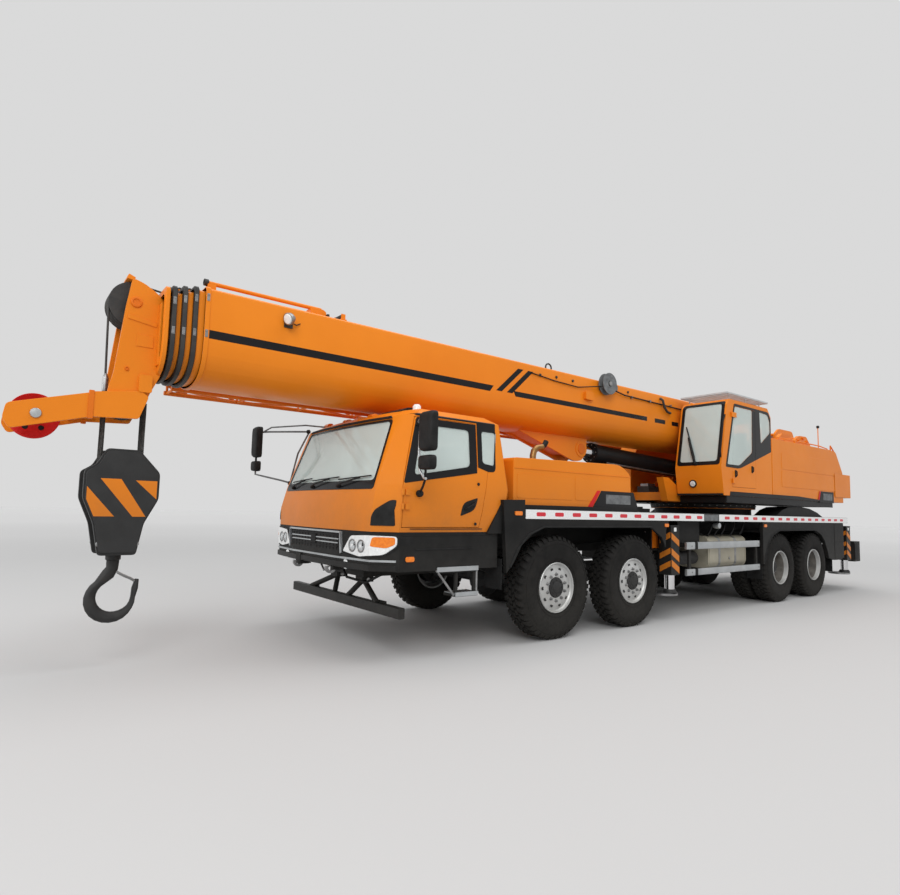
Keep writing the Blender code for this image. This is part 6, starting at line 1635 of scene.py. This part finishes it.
# ---------------------------------------------------------------- outriggers
for hand, out in HANDS:
    for end, centre in OUTRIGGERS:
        body = "outrigger_beam_%s_%s" % (end, hand)
        x = centre - out * 0.115
        kit = Kit("outrigger_arm_%s_%s" % (end, hand))
        kit.box(about(x, 0.0945), sorted((-out * 1.12, out * 1.20)), (0.9855, 1.2445), ORANGE_DEEP)
        kit.box(about(centre, 0.104), beside(out, 1.171, 1.371), (0.622, 1.318), BLACK)
        kit.box(about(centre, 0.112), beside(out, 1.165, 1.372), (1.30, 1.325), BLACK)
        kit.turned([(0.071, 0.618), (0.092, 0.618), (0.092, 0.66), (0.071, 0.66)], (centre, out * 1.275, 0),
                   UP, STEEL, 28)
        kit.make(body, (body,), bevel=0.006)
        kit = Kit("outrigger_marks_%s_%s" % (end, hand))
        face = beside(out, 1.371, 1.3745)
        for z in (0.64, 0.80, 1.02):
            kit.prism_y([(centre - 0.095, z), (centre - 0.095, z + 0.09), (centre + 0.095, z + 0.20),
                         (centre + 0.095, z + 0.11)], face, ORANGE)
        for z in (0.66, 0.84, 1.06):
            for sx in (-1, 1):
                edge = centre + sx * 0.104
                kit.prism_x([(out * 1.19, z), (out * 1.19, z + 0.08), (out * 1.36, z + 0.17),
                             (out * 1.36, z + 0.09)], sorted((edge, edge + sx * 0.003)), ORANGE)
        kit.prism_y(rounded_box(about(centre, 0.03), (1.235, 1.29), 0.01), face, WHITE)
        kit.make(body)
        jack = "outrigger_jack_%s_%s" % (end, hand)
        kit = Kit("jack_leg_%s_%s" % (end, hand))
        y = out * 1.275
        kit.turned([(0, 0.355), (0.069, 0.355), (0.069, 1.20), (0, 1.20)], (centre, y, 0), UP, CHROME, 40)
        kit.turned([(0, 0.0), (0.190, 0.0), (0.199, 0.006), (0.199, 0.030), (0.190, 0.036), (0.10, 0.040),
                    (0, 0.040)], (centre, out * 1.175, 0.33), UP, STEEL, 48)
        kit.turned([(0.069, 0.36), (0.105, 0.372), (0.100, 0.385), (0.078, 0.42), (0.069, 0.42)],
                   (centre, y, 0), UP, IRON, 32)
        kit.make(jack, (jack,), sharp=35)
kit = Kit("outrigger_boxes")
for _, centre in OUTRIGGERS:
    for out in (1, -1):
        y = out * 1.14
        for z0, z1 in ((0.958, 0.982), (1.250, 1.284)):
            kit.box(about(centre, 0.25), sorted((y - out * 0.03, y + out * 0.006)), (z0, z1),
                    BLACK)
        for sx in (-1, 1):
            kit.box(sorted((centre + sx * 0.232, centre + sx * 0.25)),
                    sorted((y - out * 0.03, y + out * 0.006)), (0.958, 1.284), BLACK)
        for z in (1.02, 1.22):
            kit.boss(0.014, 0.014, 0.010, 0.012, (centre + 0.241, y - out * 0.1, z), (1, 0, 0), STEEL, 6)
kit.make("carrier", bevel=0.003, segments=1)

# ---------------------------------------------------------------- tank, locker, guards
kit = Kit("tank_shell")
outline = rounded([(0.70, 0.66), (1.25, 0.66), (1.25, 1.15), (0.70, 1.15)], 0.11, 6)
kit.prism_x(outline, (-4.755, -3.565), TANK)
for x in (-3.60, -4.72):
    grown = [(y + (0.006 if y > 0.97 else -0.006), z + (0.006 if z > 0.9 else -0.006)) for y, z in outline]
    kit.prism_x(grown, about(x, 0.010), TANK)
for x in (-3.9, -4.4):
    kit.box(about(x, 0.04), (FRAME_SIDE, 0.75), (0.95, 1.10), CHASSIS)
    grown = [(y + (0.004 if y > 0.97 else -0.004), z + (0.004 if z > 0.9 else -0.004)) for y, z in outline]
    kit.prism_x(grown, about(x, 0.032), STEEL)
kit.turned([(0, 0.0), (0.055, 0.0), (0.058, 0.03), (0.050, 0.045), (0, 0.048)], (-3.72, 1.0, 1.147), UP,
           SEAL, 32)
kit.boss(0.022, 0.020, 0.012, 0.014, (-4.2, 1.25, 0.80), ACROSS, STEEL, 20)
kit.make("carrier", ("fuel_tank",), bevel=0.004)
kit = Kit("locker")
kit.box((-4.755, -3.565), (-1.248, -0.70), (0.662, 1.148), CHASSIS)
for x in (-3.9, -4.4):
    kit.box(about(x, 0.04), (-0.75, -FRAME_SIDE), (0.95, 1.10), CHASSIS)
kit.prism_y(rounded_box((-4.72, -4.18), (0.70, 1.11), 0.02), (-1.256, -1.246), BLACK)
kit.prism_y(rounded_box((-4.14, -3.60), (0.70, 1.11), 0.02), (-1.256, -1.246), BLACK)
for x in (-4.45, -3.87):
    kit.boss(0.030, 0.026, 0.010, 0.012, (x, -1.255, 0.90), (0, -1, 0), STEEL, 20)
kit.make("carrier", ("tool_box",), bevel=0.006)
for hand, out in HANDS:
    kit = Kit("guard_rails_" + hand)
    for z0, z1 in ((0.972, 1.078), (0.592, 0.688)):
        section = rounded([(out * 1.332, z0), (out * 1.368, z0), (out * 1.368, z1), (out * 1.332, z1)],
                          0.012, 3)
        kit.prism_x(section, (-5.008, -3.065), ALLOY)
        kit.prism_x(section, (-2.985, -2.762), ALLOY)
        kit.prism_x(section, (-3.065, -2.985), SEAL)
        kit.prism_x([(y * 1.0005, z) for y, z in section], (-5.010, -4.985), SEAL)
    for x in (-2.90, -4.95):
        kit.box(about(x, 0.03), beside(out, 1.30, 1.334), (0.60, 1.07), CHASSIS)
        kit.box(about(x, 0.03), beside(out, FRAME_SIDE, 1.32), (1.00, 1.06), CHASSIS)
        for z in (0.64, 1.02):
            kit.boss(0.012, 0.011, 0.006, 0.007, (x, out * 1.367, z), (0, out, 0), STEEL, 10)
    kit.make("carrier", ("side_guard_" + hand,), bevel=0.002, segments=1)

kit = Kit("underrun_beam")
kit.prism_y(rounded([(2.032, 0.402), (2.108, 0.402), (2.108, 0.508), (2.032, 0.508)], 0.012, 3),
            (-1.244, 1.244), BLACK)
for out in (1, -1):
    for y in (0.78, 0.16):
        kit.rod((2.07, out * y, 0.50), (1.96, out * 0.30, 0.685), 0.030, CHASSIS, 12)
    kit.box((1.88, 2.02), beside(out, 0.22, 0.38), (0.66, 0.7195), CHASSIS)
    kit.pin((1.955, out * 0.30, 0.69), 0.022, 0.095, STEEL, 16)
    kit.box((2.00, 2.04), beside(out, 0.70, 0.86), (0.40, 0.52), CHASSIS)
kit.make("carrier", ("underrun_bar",), bevel=0.004)

# ---------------------------------------------------------------- mirrors
for hand, out in HANDS:
    kit = Kit("mirror_heads_" + hand)
    if out > 0:
        spans = (((2.092, 2.168), (1.575, 1.798), (2.005, 2.378)),
                 ((2.092, 2.168), (1.575, 1.788), (1.832, 1.968)))
    else:
        spans = (((2.472, 2.556), (-1.798, -1.602), (2.105, 2.516)),
                 ((2.472, 2.556), (-1.788, -1.622), (1.922, 2.058)))
    for x, y, z in spans:
        outline = rounded([(y[0], z[0]), (y[1], z[0]), (y[1], z[1]), (y[0], z[1])], 0.045, 5)
        cy, cz = sum(y) / 2, sum(z) / 2
        rings = []
        for px, grow in ((x[0], 0.985), (x[0] + 0.012, 1.0), (x[1] - 0.030, 0.99), (x[1] - 0.006, 0.90),
                         (x[1], 0.80)):
            rings.append([(px, cy + (a - cy) * grow, cz + (b - cz) * grow) for a, b in outline])
        kit.loft(rings, SEAL, True)
        kit.prism_x([(cy + (a - cy) * 0.90, cz + (b - cz) * 0.92) for a, b in outline],
                    (x[0] - 0.002, x[0] + 0.004), MIRROR)
    if out > 0:
        kit.path([(2.13, 1.60, 2.33), (2.04, 1.42, 2.335), (1.97, 1.295, 2.33)], 0.013, GREY)
        kit.path([(2.12, 1.62, 2.30), (2.12, 1.545, 2.20), (2.12, 1.540, 1.98), (2.12, 1.560, 1.83),
                  (2.11, 1.62, 1.755), (2.12, 1.66, 1.75)], 0.013, ALLOY)
        kit.path([(2.125, 1.66, 1.84), (2.10, 1.62, 1.74), (2.04, 1.50, 1.68), (1.975, 1.37, 1.64)], 0.012,
                 SEAL)
        kit.turned([(0, -0.034), (0.034, -0.030), (0.036, 0.0), (0.026, 0.018), (0, 0.020)],
                   (1.97, 1.364, 1.62), ACROSS, SEAL, 28)
        kit.box((1.94, 2.00), (1.283, 1.302), (2.30, 2.36), SEAL)
        kit.make("cab_door_left", ("mirror_left",), bevel=0.002, segments=1)
    else:
        kit.path([(2.515, -1.70, 2.44), (2.40, -1.54, 2.445), (2.20, -1.25, 2.440), (2.055, -1.045, 2.435)],
                 0.012, GREY)
        kit.path([(2.515, -1.70, 2.40), (2.40, -1.50, 2.50), (2.10, -1.10, 2.52), (1.90, -0.90, 2.495)],
                 0.010, GREY)
        kit.path([(2.515, -1.70, 1.93), (2.515, -1.70, 1.88), (2.42, -1.55, 1.845), (2.30, -1.34, 1.80),
                  (2.215, -1.215, 1.765)], 0.012, GREY)
        kit.path([(2.515, -1.70, 2.12), (2.515, -1.70, 2.04)], 0.014, SEAL)
        kit.path([(2.225, -1.225, 1.76), (2.205, -1.20, 1.90), (2.165, -1.155, 2.15), (2.065, -1.06, 2.43)],
                 0.011, GREY)
        for x, y, z in ((2.232, -1.218, 1.765), (2.075, -1.065, 2.435)):
            kit.turned([(0, -0.02), (0.026, -0.018), (0.026, 0.014), (0, 0.018)], (x, y, z),
                       (0.55, -0.83, 0), SEAL, 20)
        kit.make("carrier", ("mirror_right",), bevel=0.002, segments=1)

# ---------------------------------------------------------------- padded seats
PAD_VOXEL = 0.009
PAD_LIMIT = 0.014


def stuffed(size):
    """A cushion's points and faces: a rounded block blown up as cloth, then subdivided."""
    bm = bmesh.new()
    bmesh.ops.create_cube(bm, size=1.0)
    for vert in bm.verts:
        vert.co = Vector(c * (s - 0.018) for c, s in zip(vert.co, size))
    bmesh.ops.bevel(bm, geom=list(bm.edges), offset=0.032, segments=4, profile=0.5, affect="EDGES")
    mesh = bpy.data.meshes.new("pad")
    bm.to_mesh(mesh)
    bm.free()
    obj = fresh_object("pad", mesh)
    step = obj.modifiers.new("remesh", "REMESH")
    step.mode = "VOXEL"
    step.voxel_size = PAD_VOXEL
    mesh = evaluated_mesh(obj)
    obj.modifiers.clear()
    obj.data = mesh
    start = [vert.co.copy() for vert in mesh.vertices]
    cloth = obj.modifiers.new("cloth", "CLOTH")
    cloth.settings.use_pressure = True
    cloth.settings.uniform_pressure_force = 4.0
    cloth.settings.effector_weights.gravity = 0.0
    cloth.settings.tension_stiffness = 12.0
    cloth.settings.compression_stiffness = 12.0
    cloth.point_cache.frame_start = 1
    cloth.point_cache.frame_end = 20
    for number in range(1, 21):
        bpy.context.scene.frame_set(number)
    blown = evaluated_mesh(obj)
    moved = [vert.co.copy() for vert in blown.vertices]
    obj.modifiers.clear()
    bpy.context.scene.frame_set(1)
    for vert, first, last in zip(mesh.vertices, start, moved):
        shift = last - first
        if shift.length > PAD_LIMIT:
            shift *= PAD_LIMIT / shift.length
        vert.co = first + shift
    step = obj.modifiers.new("finer", "SUBSURF")
    step.levels = 1
    step.render_levels = 1
    mesh = evaluated_mesh(obj)
    bpy.data.objects.remove(obj, do_unlink=True)
    return mesh


def sewn(mesh, along, across):
    """Press sewn channels into the top and the sides of a cushion."""
    normals = [vert.normal.copy() for vert in mesh.vertices]
    for vert, normal in zip(mesh.vertices, normals):
        depth = 0.0
        if normal.z > 0.3:
            for u in along:
                depth = max(depth, 0.009 * math.exp(-((vert.co.y - u) / 0.007) ** 2))
            if abs(vert.co.y) < max(abs(u) for u in along):
                for v in across:
                    depth = max(depth, 0.008 * math.exp(-((vert.co.x - v) / 0.007) ** 2))
        edge = 0.005 * math.exp(-((vert.co.z - 0.030) / 0.006) ** 2)
        vert.co -= normal * max(depth, edge if abs(normal.z) < 0.6 else 0.0)


def seat_pad(name, body, shape, place, tilt, replaces=()):
    """Stand a cushion in its seat: turned about Y by the tilt, in degrees."""
    mesh = shape.copy()
    turn = math.radians(tilt)
    for vert in mesh.vertices:
        x, y, z = vert.co
        vert.co = (place[0] + X0 + x * math.cos(turn) + z * math.sin(turn), place[1] + y,
                   place[2] - x * math.sin(turn) + z * math.cos(turn))
    mesh.materials.clear()
    mesh.materials.append(SEAT)
    obj = fresh_object(name, mesh)
    finish_piece(obj, body, replaces, sharp=80)
    return obj


CUSHION = stuffed((0.44, 0.42, 0.12))
BACK = stuffed((0.58, 0.41, 0.105))
sewn(CUSHION, (-0.125, 0.125), (-0.07, 0.04, 0.14))
sewn(BACK, (-0.125, 0.125), (-0.17, -0.06, 0.05, 0.16))
for hand, y in (("left", 0.66), ("right", -0.66)):
    seat_pad("seat_cushion_" + hand, "carrier", CUSHION, (1.385, y, 1.600), -3)
    seat_pad("seat_back_" + hand, "carrier", BACK, (1.195, y, 1.920), -80)
seat_pad("operator_cushion", "superstructure", CUSHION, (-4.77, 0.96, 2.235), -3)
seat_pad("operator_back", "superstructure", BACK, (-4.995, 0.96, 2.600), -83)

kit = Kit("cab_trim")
FLOOR = 1.2903
kit.box((0.96, 2.08), (-0.98, 0.98), (FLOOR, 1.345), TRIM)
kit.prism_y(rounded([(1.92, 1.32), (2.225, 1.32), (2.235, 1.60), (2.20, 1.628), (1.98, 1.628), (1.91, 1.54)],
                    [0.02, 0.02, 0.03, 0.03, 0.05, 0.05]), (-0.98, 0.98), TRIM)
kit.prism_y(rounded([(1.01, 1.32), (1.01, 1.56), (1.60, 1.575), (1.93, 1.50), (1.93, 1.32)], 0.04),
            (-0.23, 0.23), TRIM)
for y in (0.66, -0.66):
    kit.box((1.20, 1.56), about(y, 0.17), (1.325, 1.44), SEAL)
    kit.box((1.17, 1.59), about(y, 0.20), (1.44, 1.535), TRIM)
    kit.prism_y(rounded([(1.155, 1.50), (1.215, 1.50), (1.125, 2.19), (1.085, 2.19)], 0.02),
                about(y, 0.18), TRIM)
    for k in range(5):
        kit.box((1.925, 1.930), (y - 0.16 + 0.07 * k, y - 0.12 + 0.07 * k), (1.575, 1.605), SEAL)
# instrument hood, gauges and switches
kit.prism_y(rounded([(1.93, 1.60), (1.93, 1.628), (2.05, 1.632), (2.10, 1.60)], 0.01), (0.44, 0.88), SEAL)
for y in (0.54, 0.66, 0.78):
    kit.turned([(0, 0.0), (0.042, 0.0), (0.046, 0.004), (0.042, 0.008), (0.036, 0.004), (0, 0.003)],
               (1.915, y, 1.555), (-1, 0, 0.25), ALLOY, 28)
    kit.rod((1.909, y, 1.555), (1.905, y + 0.022, 1.572), 0.0025, RED, 6)
for k in range(8):
    kit.box((1.905, 1.918), (0.05 - 0.06 * k, 0.09 - 0.06 * k), (1.50, 1.53), SEAL)
kit.prism_x(rounded_box((-0.16, 0.16), (1.535, 1.60), 0.01), (1.912, 1.935), SEAL)
# steering column and wheel
kit.rod((1.95, 0.66, 1.56), (1.825, 0.66, 1.765), 0.030, SEAL, 16)
axis = Vector((-0.52, 0, 0.854)).normalized()
hub = Vector((1.812, 0.66, 1.788))
across = Vector((0, 1, 0))
upward = axis.cross(across)
rings = []
for i in range(40):
    a = math.tau * i / 40
    out = across * math.cos(a) + upward * math.sin(a)
    rings.append([tuple(hub + out * (0.192 + 0.0135 * math.cos(b)) + axis * (0.0135 * math.sin(b)))
                  for b in [math.tau * k / 10 for k in range(10)]])
kit.loft(rings, SEAL, True, loop=True)
for a in (math.radians(-90), math.radians(20), math.radians(160)):
    out = across * math.cos(a) + upward * math.sin(a)
    kit.path([tuple(hub - axis * 0.012), tuple(hub + out * 0.10 - axis * 0.008), tuple(hub + out * 0.188)],
             0.011, SEAL, 8)
kit.turned([(0, -0.03), (0.040, -0.025), (0.046, 0.0), (0.036, 0.012), (0, 0.016)], tuple(hub), tuple(axis),
           SEAL, 28)
# gear lever, pedals
kit.path([(1.62, 0.10, 1.55), (1.60, 0.10, 1.66), (1.58, 0.10, 1.74)], 0.010, ALLOY, 10)
kit.turned([(0, -0.02), (0.022, -0.01), (0.024, 0.012), (0.012, 0.028), (0, 0.030)], (1.578, 0.10, 1.75), UP,
           SEAL, 20)
for y in (0.56, 0.66, 0.78):
    kit.prism_y([(1.86, 1.345), (1.90, 1.36), (1.86, 1.47), (1.845, 1.465)], about(y, 0.03), SEAL)
kit.make("carrier", ("cab_interior",), bevel=0.006)

kit = Kit("operator_station")
kit.box((-5.08, -4.48), (0.76, 1.16), (1.8453, 1.93), TRIM)
kit.prism_y(rounded([(-5.00, 1.92), (-4.56, 1.92), (-4.60, 2.06), (-4.96, 2.06)], 0.02), (0.80, 1.12), SEAL)
kit.box((-4.98, -4.56), (0.77, 1.15), (2.06, 2.17), TRIM)
kit.prism_y(rounded([(-5.05, 2.18), (-5.00, 2.18), (-5.07, 2.93), (-5.115, 2.93)], 0.02), (0.78, 1.14), TRIM)
for y in (0.735, 1.185):
    kit.prism_y(rounded([(-4.96, 2.14), (-4.52, 2.14), (-4.50, 2.27), (-4.56, 2.295), (-4.96, 2.295)], 0.03),
                about(y, 0.013), TRIM)
    kit.rod((-4.56, y, 2.28), (-4.55, y, 2.292), 0.012, SEAL, 12)
kit.make("superstructure", ("opcab_seat",), bevel=0.006)
